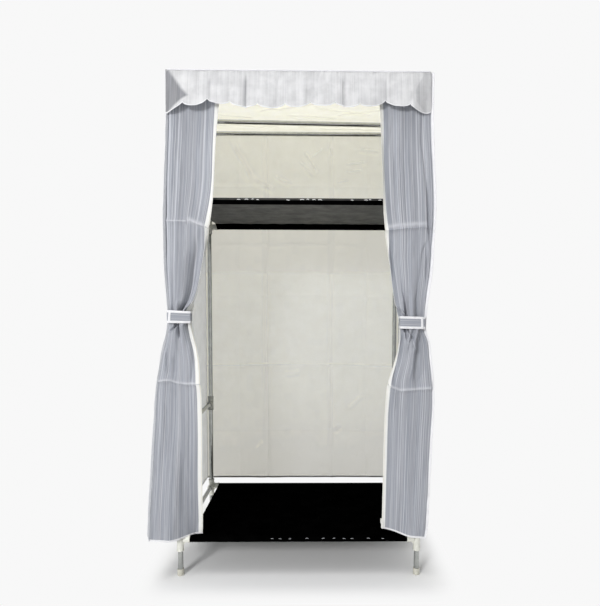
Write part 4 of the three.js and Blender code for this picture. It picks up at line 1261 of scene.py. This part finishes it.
# painted shade where the valance turns back at its ends: rows of (drop, distance from the end), and how much painted
# light is left at the end itself
DARK_ENDS = {
    -1: (((0, 8), (29, 29), (52, 44), (78, 66), (90, 46), (124, 4)), 0.0),
    1: (((0, 24), (15, 30), (58, 53), (90, 50), (114, 26)), 0.64),
}
SCALLOP_SECTION = [
    (2.3, 0.4), (1.9, 0.5), (0.3, 0.48), (-0.45, 0.3), (-0.6, 0.0), (-0.45, -0.3), (0.3, -0.48), (2.3, -0.4),
]


def valance_drop(x):
    """How far down the scalloped edge hangs at x."""
    xs = np.array([-VALANCE_HALF] + CUSPS + [VALANCE_HALF])
    drops = np.array([END_DROPS[0]] + CUSP_DROPS + [END_DROPS[1]])
    i = np.clip(np.searchsorted(xs, x, side="right") - 1, 0, len(xs) - 2)
    share = (x - xs[i]) / (xs[i + 1] - xs[i])
    base = drops[i] * (1 - share) + drops[i + 1] * share
    return base + LOBE_DEPTHS[i] * np.clip(4 * share * (1 - share), 0, 1) ** 0.62


def valance_sheet():
    """The valance, standing away from the strips lower down, and its painted light and shade: pale where it tilts up to
    the light, darker at its turned-back ends and beside its creases.
    """
    cusp_shares = (np.array(CUSPS) + VALANCE_HALF) / (2 * VALANCE_HALF)
    s_values = np.unique(np.concatenate([np.linspace(0, 1, 420), cusp_shares]))
    t_values = np.linspace(0, 1, 46)
    s, t = np.meshgrid(s_values, t_values)
    x = -VALANCE_HALF + s * 2 * VALANCE_HALF
    fall = (1 - t) * valance_drop(x)
    ends = smoothstep(VALANCE_HALF - np.abs(x), 2, 62)
    stand = 17.0 * ends * np.sin(0.5 * math.pi * np.clip(fall / 118, 0, 1)) ** 1.1
    wave = 3.6 * soft_noise(x, x * 0, 62, 50, 91) + 2.0 * soft_noise(x, fall, 24, 60, 92)
    y = -235.2 - stand - (fall / VALANCE_DROP) ** 1.3 * (wave + 2.0)
    # painted light: the pale tone over most of the valance, where it tilts up to the light
    painted_shading = 0.92 + 0.08 * soft_noise(x, fall, 30, 30, 95)
    for sign, (outline, end_tone) in DARK_ENDS.items():
        reach = np.interp(fall, *zip(*outline))
        painted_shading = np.minimum(painted_shading, end_tone + smoothstep(VALANCE_HALF - sign * x, reach - 8, reach + 8))
    for middle_x, size in VALANCE_CREASES:
        d = x - middle_x
        y = y + size * ridge(d, np.where(d > 0, 5.0, 14.0)) * smoothstep(fall, 4, 40)
        # painted shade beside each crease
        painted_shading = painted_shading - 0.09 * abs(size) * ridge(d + 3, 4) * smoothstep(fall, 4, 40)
    y = y + 0.9 * soft_noise(x, fall, 11, 24, 93) * smoothstep(fall, 2, 20)
    pucker = np.exp(-fall / 12) * 1.3 * soft_noise(x, x * 0, 7.5, 50, 94)
    y = np.minimum(y + pucker, -234.4)
    return Sheet(x, y, VALANCE_SEAM - fall, s_values, t_values, 1), x, fall, painted_shading


valance, x, fall, painted_shading = valance_sheet()
flat = np.stack([x + VALANCE_HALF, VALANCE_DROP - fall], axis=-1)
valance_cloth = make_cloth(
    "valance_cloth", valance.grid, flat, [VALANCE_CLOTH, REVERSE], 1, body="valance"
)
mark(valance_cloth, painted_shading)
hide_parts("valance")
drops, shares = valance_drop(x[0]), valance.s_values
build = Build()
add_binding(build, valance, shares, 2 * VALANCE_HALF, drops, SCALLOP_SECTION, 0.3, step=1.0)
scallop_binding = build.make("valance_edge_binding", [BINDING], "valance")
build = Build()
add_stitches(build, valance, shares, 1 - 4.0 / drops, 0.5)
add_stitches(build, valance, shares, 1.5 / drops, 0.72, length=2.4)
valance_stitching = build.make("valance_stitching", [THREAD], "valance")


# ---------------------------------------------------------------- rolled door

ROLL_Y, ROLL_Z, ROLL_RADIUS = FRONT_PLANE - 0.7 + 31.0, 1457.0, 30.6
ROLL_INSIDE, ROLL_TURNS = 8.0, 10.2
DOOR_SEAM = (FRONT_PLANE - 1.2, 1497.6)
DOOR_WIDTH = 452.0
TIES_AT, TIE_WIDTH, TIE_THICKNESS = (-118.0, 118.0), 11.0, 0.5


def roll_path():
    """(y, z) along the door, from its seam down and round the roll to its middle."""
    angle = np.linspace(0, ROLL_TURNS * 2 * math.pi, 420)
    radius = ROLL_RADIUS + (ROLL_INSIDE - ROLL_RADIUS) * angle / angle[-1]
    radius = radius + 0.4 * soft_noise(angle * 9, angle, 11, 3, 101) * (radius / ROLL_RADIUS)
    roll = np.stack([ROLL_Y - radius * np.cos(angle), ROLL_Z - radius * np.sin(angle)], axis=-1)
    hang = np.linspace(0, 1, 14)[:-1, None]
    start = np.array(DOOR_SEAM)
    return np.concatenate([start + (np.array([ROLL_Y - ROLL_RADIUS, ROLL_Z]) - start) * hang, roll])


path = roll_path()
length = run_along(path)
columns = np.linspace(-DOOR_WIDTH / 2, DOOR_WIDTH / 2, 36)
lean = 1.2 * soft_noise(columns, columns * 0, 60, 50, 102)[None, :] * np.linspace(0, 1, len(path))[:, None]
grid = np.zeros((len(path), len(columns), 3))
grid[..., 0] = columns
grid[..., 1] = path[:, :1]
grid[..., 2] = path[:, 1:] + 0.35 * lean
door = make_cloth("rolled_door_cloth", grid, flat_grid(columns, -length), [REVERSE, STRIPED], -1)
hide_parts("rolled_door")


def add_tie(build, path, middle_x):
    """A flat ribbon along a path of (y, z)."""
    path = np.asarray(path, dtype=float)
    columns = np.linspace(-TIE_WIDTH / 2, TIE_WIDTH / 2, 5)
    grid = np.zeros((len(path), 5, 3))
    grid[..., 0] = middle_x + columns[None, :]
    grid[..., 1:] = path[:, None, :]
    add_cloth(build, grid, flat_grid(columns, run_along(path)), TIE_THICKNESS, -1, lined=False)


build = Build()
for middle_x in TIES_AT:
    angle, round_roll = np.linspace(math.pi * 0.5, -math.pi * 1.5, 44), ROLL_RADIUS + 0.9
    add_tie(build, [(ROLL_Y + round_roll * math.cos(a), ROLL_Z + round_roll * math.sin(a)) for a in angle], middle_x)
    add_tie(build, [(ROLL_Y + 3 * k / 12, ROLL_Z + ROLL_RADIUS + 1.4 + k * 1.25) for k in range(13)], middle_x)
ties = build.make("rolled_door_ties", [BINDING])


# ---------------------------------------------------------------- shelves

SHELF_HALF = 330.5
SLEEVE_SEAM = HALF_DEPTH - 34.0


def shelf_path(rail):
    """(y, z) along the shelf cloth: from its front seam round the front rail, across and round the back rail."""
    radius = BORE_RADIUS + 0.9
    seam_y, seam_z = -SLEEVE_SEAM - 1, rail + radius - 2.2
    points = [(seam_y + 5, seam_z + 0.7), (seam_y, seam_z)]
    leaves_rail = math.radians(-52)
    low_y, low_z = -HALF_DEPTH + radius * math.cos(leaves_rail), rail + radius * math.sin(leaves_rail)
    for k in np.linspace(0, 1, 12)[1:]:
        points.append((seam_y + (low_y - seam_y) * k, seam_z + (low_z - seam_z) * k ** 1.05))
    for degrees in np.linspace(math.degrees(leaves_rail), -270, 40)[1:]:
        angle = math.radians(degrees)
        points.append((-HALF_DEPTH + radius * math.cos(angle), rail + radius * math.sin(angle)))
    front = np.array(points)
    middle = np.linspace(front[-1, 0], -front[-1, 0], 92)[1:-1]
    across = np.stack([middle, np.full(len(middle), rail + radius)], axis=-1)
    return np.concatenate([front, across, front[::-1] * np.array([-1.0, 1.0])])


def make_shelf(name, rail, seed, sag, painted_light):
    """A shelf's cloth with its stitching, and a painted highlight on the top front of its sleeve, as strong as its last
    argument.
    """
    path = shelf_path(rail)
    run = run_along(path)
    columns = np.linspace(-SHELF_HALF, SHELF_HALF, 150)
    x, along = np.meshgrid(columns, run)
    y = np.repeat(path[:, :1], len(columns), axis=1)
    z = np.repeat(path[:, 1:], len(columns), axis=1)
    inner = smoothstep(z, rail, rail + 6.5) * smoothstep(HALF_DEPTH - np.abs(y), 0, 60)
    wrinkles = crumple(x, y, (1.3, 85, 70, seed), (0.7, 26, 34, seed + 1), (0.3, 9, 12, seed + 2))
    give = -sag * inner + inner * wrinkles
    for middle_x in (-165, 0, 165):
        give = give + inner * 1.1 * ridge(x - middle_x - 3 * soft_noise(y, y * 0, 90, 50, seed + 3), 6)
    z = z + give
    under = (z < rail + 7) & (np.abs(y) < HALF_DEPTH - 6)
    z = z + np.where(under, 0.8 * soft_noise(x, y, 22, 14, seed + 4), 0.0)
    sheet = Sheet(x, y, z, (columns + SHELF_HALF) / (2 * SHELF_HALF), run / run[-1], 1)
    flat = np.stack([x, along], axis=-1)
    cloth = make_cloth(f"{name}_cloth", sheet.grid, flat, [BLACK_TOP, BLACK_UNDER], 1)
    # painted highlight on the top and front of the sleeve round the front rail, where light falls on it
    turn = np.degrees(np.arctan2(path[:, 1] - rail, path[:, 0] + HALF_DEPTH)) % 360
    front_arc = smoothstep(turn, 172, 166) * smoothstep(turn, 60, 80) * (path[:, 0] < -HALF_DEPTH + 12)
    mark(cloth, painted_light * front_arc[:, None] * (0.85 + 0.15 * soft_noise(x, y, 14, 14, seed + 5)))
    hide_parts(name)
    # stitches along the hems at both ends, and along the seams of both sleeves
    build = Build()
    for edge in (0.009, 0.991):
        add_stitches(build, sheet, edge, np.linspace(0.02, 0.98, 220), 0.45)
    tops = np.where(path[:, 1] > rail + 8.0)[0]
    for wanted in (-SLEEVE_SEAM + 2.5, SLEEVE_SEAM - 2.5):
        seam = run[tops[np.argmin(np.abs(path[tops, 0] - wanted))]] / run[-1]
        add_stitches(build, sheet, np.linspace(0.012, 0.988, 200), seam, 0.45)
    stitching = build.make(f"{name}_stitching", [DARK_THREAD])
    return cloth, sheet, path, run, stitching


def thread_ends(name, sheet, path, run, rail, ends, seed, radius, material):
    """Short ends of sewing thread that show through along the front sleeve."""
    rng = np.random.default_rng(seed)
    build = Build()
    around = np.where(path[:, 0] < -HALF_DEPTH + 5)[0]
    angles = np.degrees(np.arctan2(path[around, 1] - rail, path[around, 0] + HALF_DEPTH))
    angles = np.where(angles > 0, angles - 360, angles)
    share = np.linspace(0, 1, 9)
    for x, angle, length in ends:
        middle = run[around[np.argmin(np.abs(angles - angle))]] / run[-1]
        bend = rng.uniform(-1, 1, 2)
        s_line = (x + SHELF_HALF + length * (share - 0.5)) / (2 * SHELF_HALF)
        t_line = middle + (1.6 * bend[0] * np.sin(math.pi * share) + 1.0 * bend[1] * share) / run[-1]
        add_cord(build, sheet.at(s_line, t_line, 0.75 + 0.5 * np.sin(math.pi * share)), radius, 6)
    return build.make(name, [material])


# thread ends: (x, angle round the rail, length)
UPPER_ENDS = [
    (-177, -198, 9), (-154, -196, 10), (-136, -201, 5), (-121, -198, 6), (-32, -199, 8), (9, -196, 11), (26, -201, 6),
    (44, -198, 8), (62, -196, 10), (156, -199, 7), (197, -197, 9), (209, -201, 5), (238, -198, 7),
]
LOWER_ENDS = [
    (-81, -203, 7), (-57, -201, 8), (-27, -205, 6), (25, -202, 8), (74, -205, 8), (107, -201, 6), (138, -204, 8),
    (162, -202, 8), (212, -205, 9), (256, -202, 7),
]
# each shelf: its name, rail, height, noise seed, sag, the strength of the painted highlight on its sleeve's top front,
# and its thread ends with their radius and look
SHELVES = (
    ("upper_shelf", "shelf_rail", SHELF_RAIL, 121, 3.0, 0.9, UPPER_ENDS, 0.95, THREAD),
    ("lower_shelf", "bottom_rail", BOTTOM_RAIL, 131, 3.5, 0.0, LOWER_ENDS, 0.55, GREY_TRIM),
)
for name, rail_name, rail, seed, sag, painted_light, ends, radius, material in SHELVES:
    cloth, sheet, path, run, stitching = make_shelf(name, rail, seed, sag, painted_light)
    threads = thread_ends(f"{name}_thread_ends", sheet, path, run, rail, ends, seed, radius, material)


# ---------------------------------------------------------------- tie bands

# x of the loose run's outer and inner end, heights of its top and bottom there, x of the corner seam, and its slant
BANDS = {
    "left": {"outer": -378.5, "inner": -315.5, "top": (808.5, 805.5), "bottom": (772.5, 771.5), "seam": -385.5,
             "slant": 3.5},
    "right": {"outer": 364.5, "inner": 297.2, "top": (791.0, 793.0), "bottom": (756.5, 757.5), "seam": 372.5,
              "slant": 1.0},
}
BAND_SECTION = [
    (6.3, 0.55), (5.6, 0.72), (3.0, 0.76), (0.4, 0.72), (-0.3, 0.42), (-0.45, 0.0), (-0.3, -0.42), (0.4, -0.72),
    (5.6, -0.72), (6.3, -0.55),
]
BAND_HEIGHT, SEWN_HEIGHT = 36.0, 38
BAND_THICKNESS, BAND_BINDING = 0.8, 0.4
BOTH_EDGES = ((0.0, 1), (1.0, -1))


def band_levels(side, share):
    """Heights of a band's bottom and top edge at a share of its run."""
    facts = BANDS[side]
    return [facts[edge][0] + (facts[edge][1] - facts[edge][0]) * share for edge in ("bottom", "top")]


def loose_run(side, sign):
    """The band's moving run across the front of the gathers, to its inner end."""
    facts, body = BANDS[side], f"tie_band_{side}"
    outer, inner = facts["outer"], facts["inner"]
    s_values, t_values = np.linspace(0, 1, 60), np.linspace(0, 1, 22)
    s, t = np.meshgrid(s_values, t_values)
    bottom, top = band_levels(side, s)
    z = bottom + (top - bottom) * t
    x = outer + (inner - outer) * s - sign * facts["slant"] * (t - 0.5) * (1 - s) ** 4
    bow = 3.6 * s ** 7 + 1.2 * (1 - s) ** 5 - 0.5 * np.cos((t - 0.5) * math.pi)
    y = -252.6 + bow + 0.45 * soft_noise(x, z, 16, 30, 141 + sign) * (1 - s ** 6)
    sheet = Sheet(x, y, z, s_values, t_values, -sign)
    width = abs(inner - outer)
    flat = np.stack([400 + t * BAND_HEIGHT, s * width], axis=-1)
    band = make_cloth(
        f"tie_band_{side}_cloth", sheet.grid, flat, [STRIPED, REVERSE], -sign, body, BAND_THICKNESS
    )
    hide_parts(body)
    build = Build()
    rows, columns = np.linspace(0.0, 1.0, 60), np.linspace(-0.01, 1.01, 30)
    for edge, direction in BOTH_EDGES:
        add_binding(build, sheet, rows, width, BAND_HEIGHT, BAND_SECTION, BAND_BINDING, edge, direction)
    grid = np.array([sheet.at(inset / width, columns, lift * 1.35) for inset, lift in BAND_SECTION])
    flat = flat_grid(columns * BAND_HEIGHT, np.arange(len(BAND_SECTION)) * 2.0)[..., ::-1]
    add_cloth(build, grid, flat, BAND_BINDING, -sign, lined=False)
    binding = build.make(f"tie_band_{side}_binding", [BINDING], body)
    build = Build()
    for share in (4.8 / BAND_HEIGHT, 1 - 4.8 / BAND_HEIGHT):
        add_stitches(build, sheet, rows[8:], share, 1.0)
    add_stitches(build, sheet, 4.7 / width, columns[2:-2], 1.25)
    stitching = build.make(f"tie_band_{side}_stitching", [THREAD], body)


def sewn_run(side, sign):
    """The band's sewn run: from under the loose one round the corner seam and behind the gathers."""
    facts = BANDS[side]
    outer, inner, seam = facts["outer"], facts["inner"], facts["seam"]
    stations = [
        (outer - sign * 14.0, -249.6), (outer - sign * 4, -249.6), (outer + sign * 3, -249.0),
        (seam - sign * 0.5, -244.5), (seam, -238.0), (seam - sign * 0.6, -232.0), (seam - sign * 3.5, -228.6),
        (seam - sign * 9, -227.2), ((seam + inner) / 2, -227.0), (inner + sign * 9, -227.3),
        (inner + sign * 1.5, -229.4), (inner - sign * 0.8, -234.0), (inner - sign * 1.0, -240.0),
        (inner - sign * 0.4, -246.0), (inner + sign * 1.4, -250.2),
    ]
    curve = hermite([(k,) + point for k, point in enumerate(stations)])(np.linspace(0, len(stations) - 1, 110))
    run = run_along(curve)
    t_values = np.linspace(0, 1, 14)
    t, along = np.meshgrid(t_values, run / run[-1], indexing="ij")
    low, high = band_levels(side, np.clip((curve[:, 0] - outer) / (inner - outer), 0, 1)[None, :])
    z = low + 0.4 + (high - low - 0.8) * t
    x, y = (np.repeat(curve[None, :, k], len(t_values), axis=0) for k in (0, 1))
    base = Sheet(x, y, z, run / run[-1], t_values, sign)
    flat = np.stack([700 + t * SEWN_HEIGHT, along * run[-1]], axis=-1)
    sewn = make_cloth(
        f"tie_band_{side}_sewn_run", base.grid, flat, [STRIPED, REVERSE], sign, thickness=BAND_THICKNESS
    )
    build = Build()
    for edge, direction in BOTH_EDGES:
        add_binding(build, base, np.linspace(0.0, 1.0, 110), run[-1], SEWN_HEIGHT, BAND_SECTION, BAND_BINDING,
                    edge, direction)
    binding = build.make(f"tie_band_{side}_sewn_binding", [BINDING])


for side, sign in SIDES:
    loose_run(side, sign)
    sewn_run(side, sign)


# ---------------------------------------------------------------- zip slider and pull

for name in ("zip_slider", "zip_pull"):
    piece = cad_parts[name]
    piece.data.materials.clear()
    piece.data.materials.append(ENAMEL)
    bevel = piece.modifiers.new("rounded", "BEVEL")
    bevel.width, bevel.segments, bevel.limit_method, bevel.angle_limit = 0.0004, 3, "ANGLE", math.radians(35)


# ---------------------------------------------------------------- stage, light and camera

BACKDROP = 0.938
FLOOR_TONE = 0.94
FOOTPRINT = (0.37, 0.25, 0.1)
FADE = (0.0, 0.12)
AMBIENT = 0.42


def grey(value):
    return (value, value, value, 1)


def connect(tree, *pairs):
    for output, socket in pairs:
        tree.links.new(output, socket)


def backdrop_rays(tree):
    """1 for camera, glossy and transmission rays, which see the backdrop."""
    path = tree.nodes.new("ShaderNodeLightPath")
    total = path.outputs["Is Camera Ray"]
    for ray in ("Is Glossy Ray", "Is Transmission Ray"):
        either = tree.nodes.new("ShaderNodeMath")
        either.operation = "MAXIMUM"
        connect(tree, (total, either.inputs[0]), (path.outputs[ray], either.inputs[1]))
        total = either.outputs[0]
    return total


def stage_floor():
    """A floor that takes the object's shadow and fades into the backdrop away from its footprint."""
    mesh = bpy.data.meshes.new("studio_floor")
    mesh.from_pydata([(-30, -30, 0), (30, -30, 0), (30, 30, 0), (-30, 30, 0)], [], [(0, 1, 2, 3)])
    floor = bpy.data.objects.new("studio_floor", mesh)
    bpy.context.scene.collection.objects.link(floor)
    material = bpy.data.materials.new("studio_floor_finish")
    material.use_nodes = True
    tree = material.node_tree
    tree.nodes.clear()
    new = tree.nodes.new
    output, diffuse, glow = new("ShaderNodeOutputMaterial"), new("ShaderNodeBsdfDiffuse"), new("ShaderNodeEmission")
    diffuse.inputs["Color"].default_value = grey(FLOOR_TONE)
    glow.inputs["Color"].default_value = grey(BACKDROP)
    where, fade = new("ShaderNodeNewGeometry").outputs["Position"], new("ShaderNodeMapRange")
    steps = (("SUBTRACT", tuple(MIDDLE)), ("ABSOLUTE", None), ("SUBTRACT", FOOTPRINT), ("MAXIMUM", (0.0, 0.0, 0.0)),
             ("LENGTH", None))
    for operation, vector in steps:
        step = new("ShaderNodeVectorMath")
        step.operation = operation
        connect(tree, (where, step.inputs[0]))
        if vector is not None:
            step.inputs[1].default_value = vector
        where = step.outputs["Value" if operation == "LENGTH" else "Vector"]
    fade.interpolation_type = "SMOOTHERSTEP"
    fade.inputs["From Min"].default_value, fade.inputs["From Max"].default_value = FADE
    share, mix = new("ShaderNodeMath"), new("ShaderNodeMixShader")
    share.operation = "MULTIPLY"
    connect(
        tree, (where, fade.inputs["Value"]), (fade.outputs[0], share.inputs[0]), (backdrop_rays(tree), share.inputs[1]),
        (share.outputs[0], mix.inputs[0]), (diffuse.outputs[0], mix.inputs[1]), (glow.outputs[0], mix.inputs[2]),
        (mix.outputs[0], output.inputs[0]),
    )
    mesh.materials.append(material)


world = bpy.data.worlds.new("studio")
bpy.context.scene.world = world
world.use_nodes = True
tree = world.node_tree
tree.nodes.clear()
kinds = ("ShaderNodeOutputWorld", "ShaderNodeBackground", "ShaderNodeBackground", "ShaderNodeMixShader")
output, light, white, mix = (tree.nodes.new(kind) for kind in kinds)
light.inputs["Color"].default_value, light.inputs["Strength"].default_value = (0.99, 0.995, 1.0, 1), AMBIENT
white.inputs["Color"].default_value, white.inputs["Strength"].default_value = grey(BACKDROP), 1.0
connect(
    tree, (backdrop_rays(tree), mix.inputs[0]), (light.outputs[0], mix.inputs[1]), (white.outputs[0], mix.inputs[2]),
    (mix.outputs[0], output.inputs[0]),
)
stage_floor()


def area_lamp(name, location, target, size, power, colour=(1, 1, 1)):
    lamp = bpy.data.lights.new(name, "AREA")
    lamp.shape, lamp.size, lamp.size_y, lamp.energy, lamp.color = "RECTANGLE", size[0], size[1], power, colour
    made = bpy.data.objects.new(name, lamp)
    made.location = location
    made.rotation_euler = (Vector(target) - Vector(location)).to_track_quat("-Z", "Y").to_euler()
    bpy.context.scene.collection.objects.link(made)


area_lamp("front_lamp", (-2.3, -4.5, 2.6), (0, 0, 0.8), (1.2, 1.2), 154)
area_lamp("top_lamp", (-0.5, -0.6, 5.0), (0, 0, 0.6), (3.0, 3.0), 88)
area_lamp("back_lamp", (0.0, 1.3, 2.3), (0, 0.2, 1.45), (1.2, 0.6), 8.4, (1.0, 0.96, 0.72))

CAMERA_PLACE = (44.1, -1613.1, 810.0)
CAMERA_DOWN, CAMERA_TURN, CAMERA_ROLL = math.radians(2.78), math.radians(0.71), math.radians(-0.16)
IMAGE = (600, 606)
FOCAL_PIXELS, CENTRE = 466.2, (319.5, 332.9)
SENSOR = 36.0
data = bpy.data.cameras.new("camera")
camera = bpy.data.objects.new("camera", data)
bpy.context.scene.collection.objects.link(camera)
data.sensor_width = SENSOR
data.lens = SENSOR * FOCAL_PIXELS / max(IMAGE)
data.shift_x = (IMAGE[0] / 2 - CENTRE[0]) / max(IMAGE)
data.shift_y = (CENTRE[1] - IMAGE[1] / 2) / max(IMAGE)
data.clip_start, data.clip_end = 0.05, 100
heading = Vector((math.sin(CAMERA_TURN), math.cos(CAMERA_TURN), 0))
level = Vector((math.cos(CAMERA_TURN), -math.sin(CAMERA_TURN), 0))
forward = math.cos(CAMERA_DOWN) * heading - math.sin(CAMERA_DOWN) * Vector(UP)
above = math.sin(CAMERA_DOWN) * heading + math.cos(CAMERA_DOWN) * Vector(UP)
right = math.cos(CAMERA_ROLL) * level - math.sin(CAMERA_ROLL) * above
top = math.sin(CAMERA_ROLL) * level + math.cos(CAMERA_ROLL) * above
turned = Matrix((right, top, -forward)).transposed().to_4x4()
camera.matrix_world = Matrix.Translation(Vector(place(CAMERA_PLACE))) @ turned
bpy.context.scene.camera = camera
bpy.context.scene.view_settings.view_transform = "Standard"
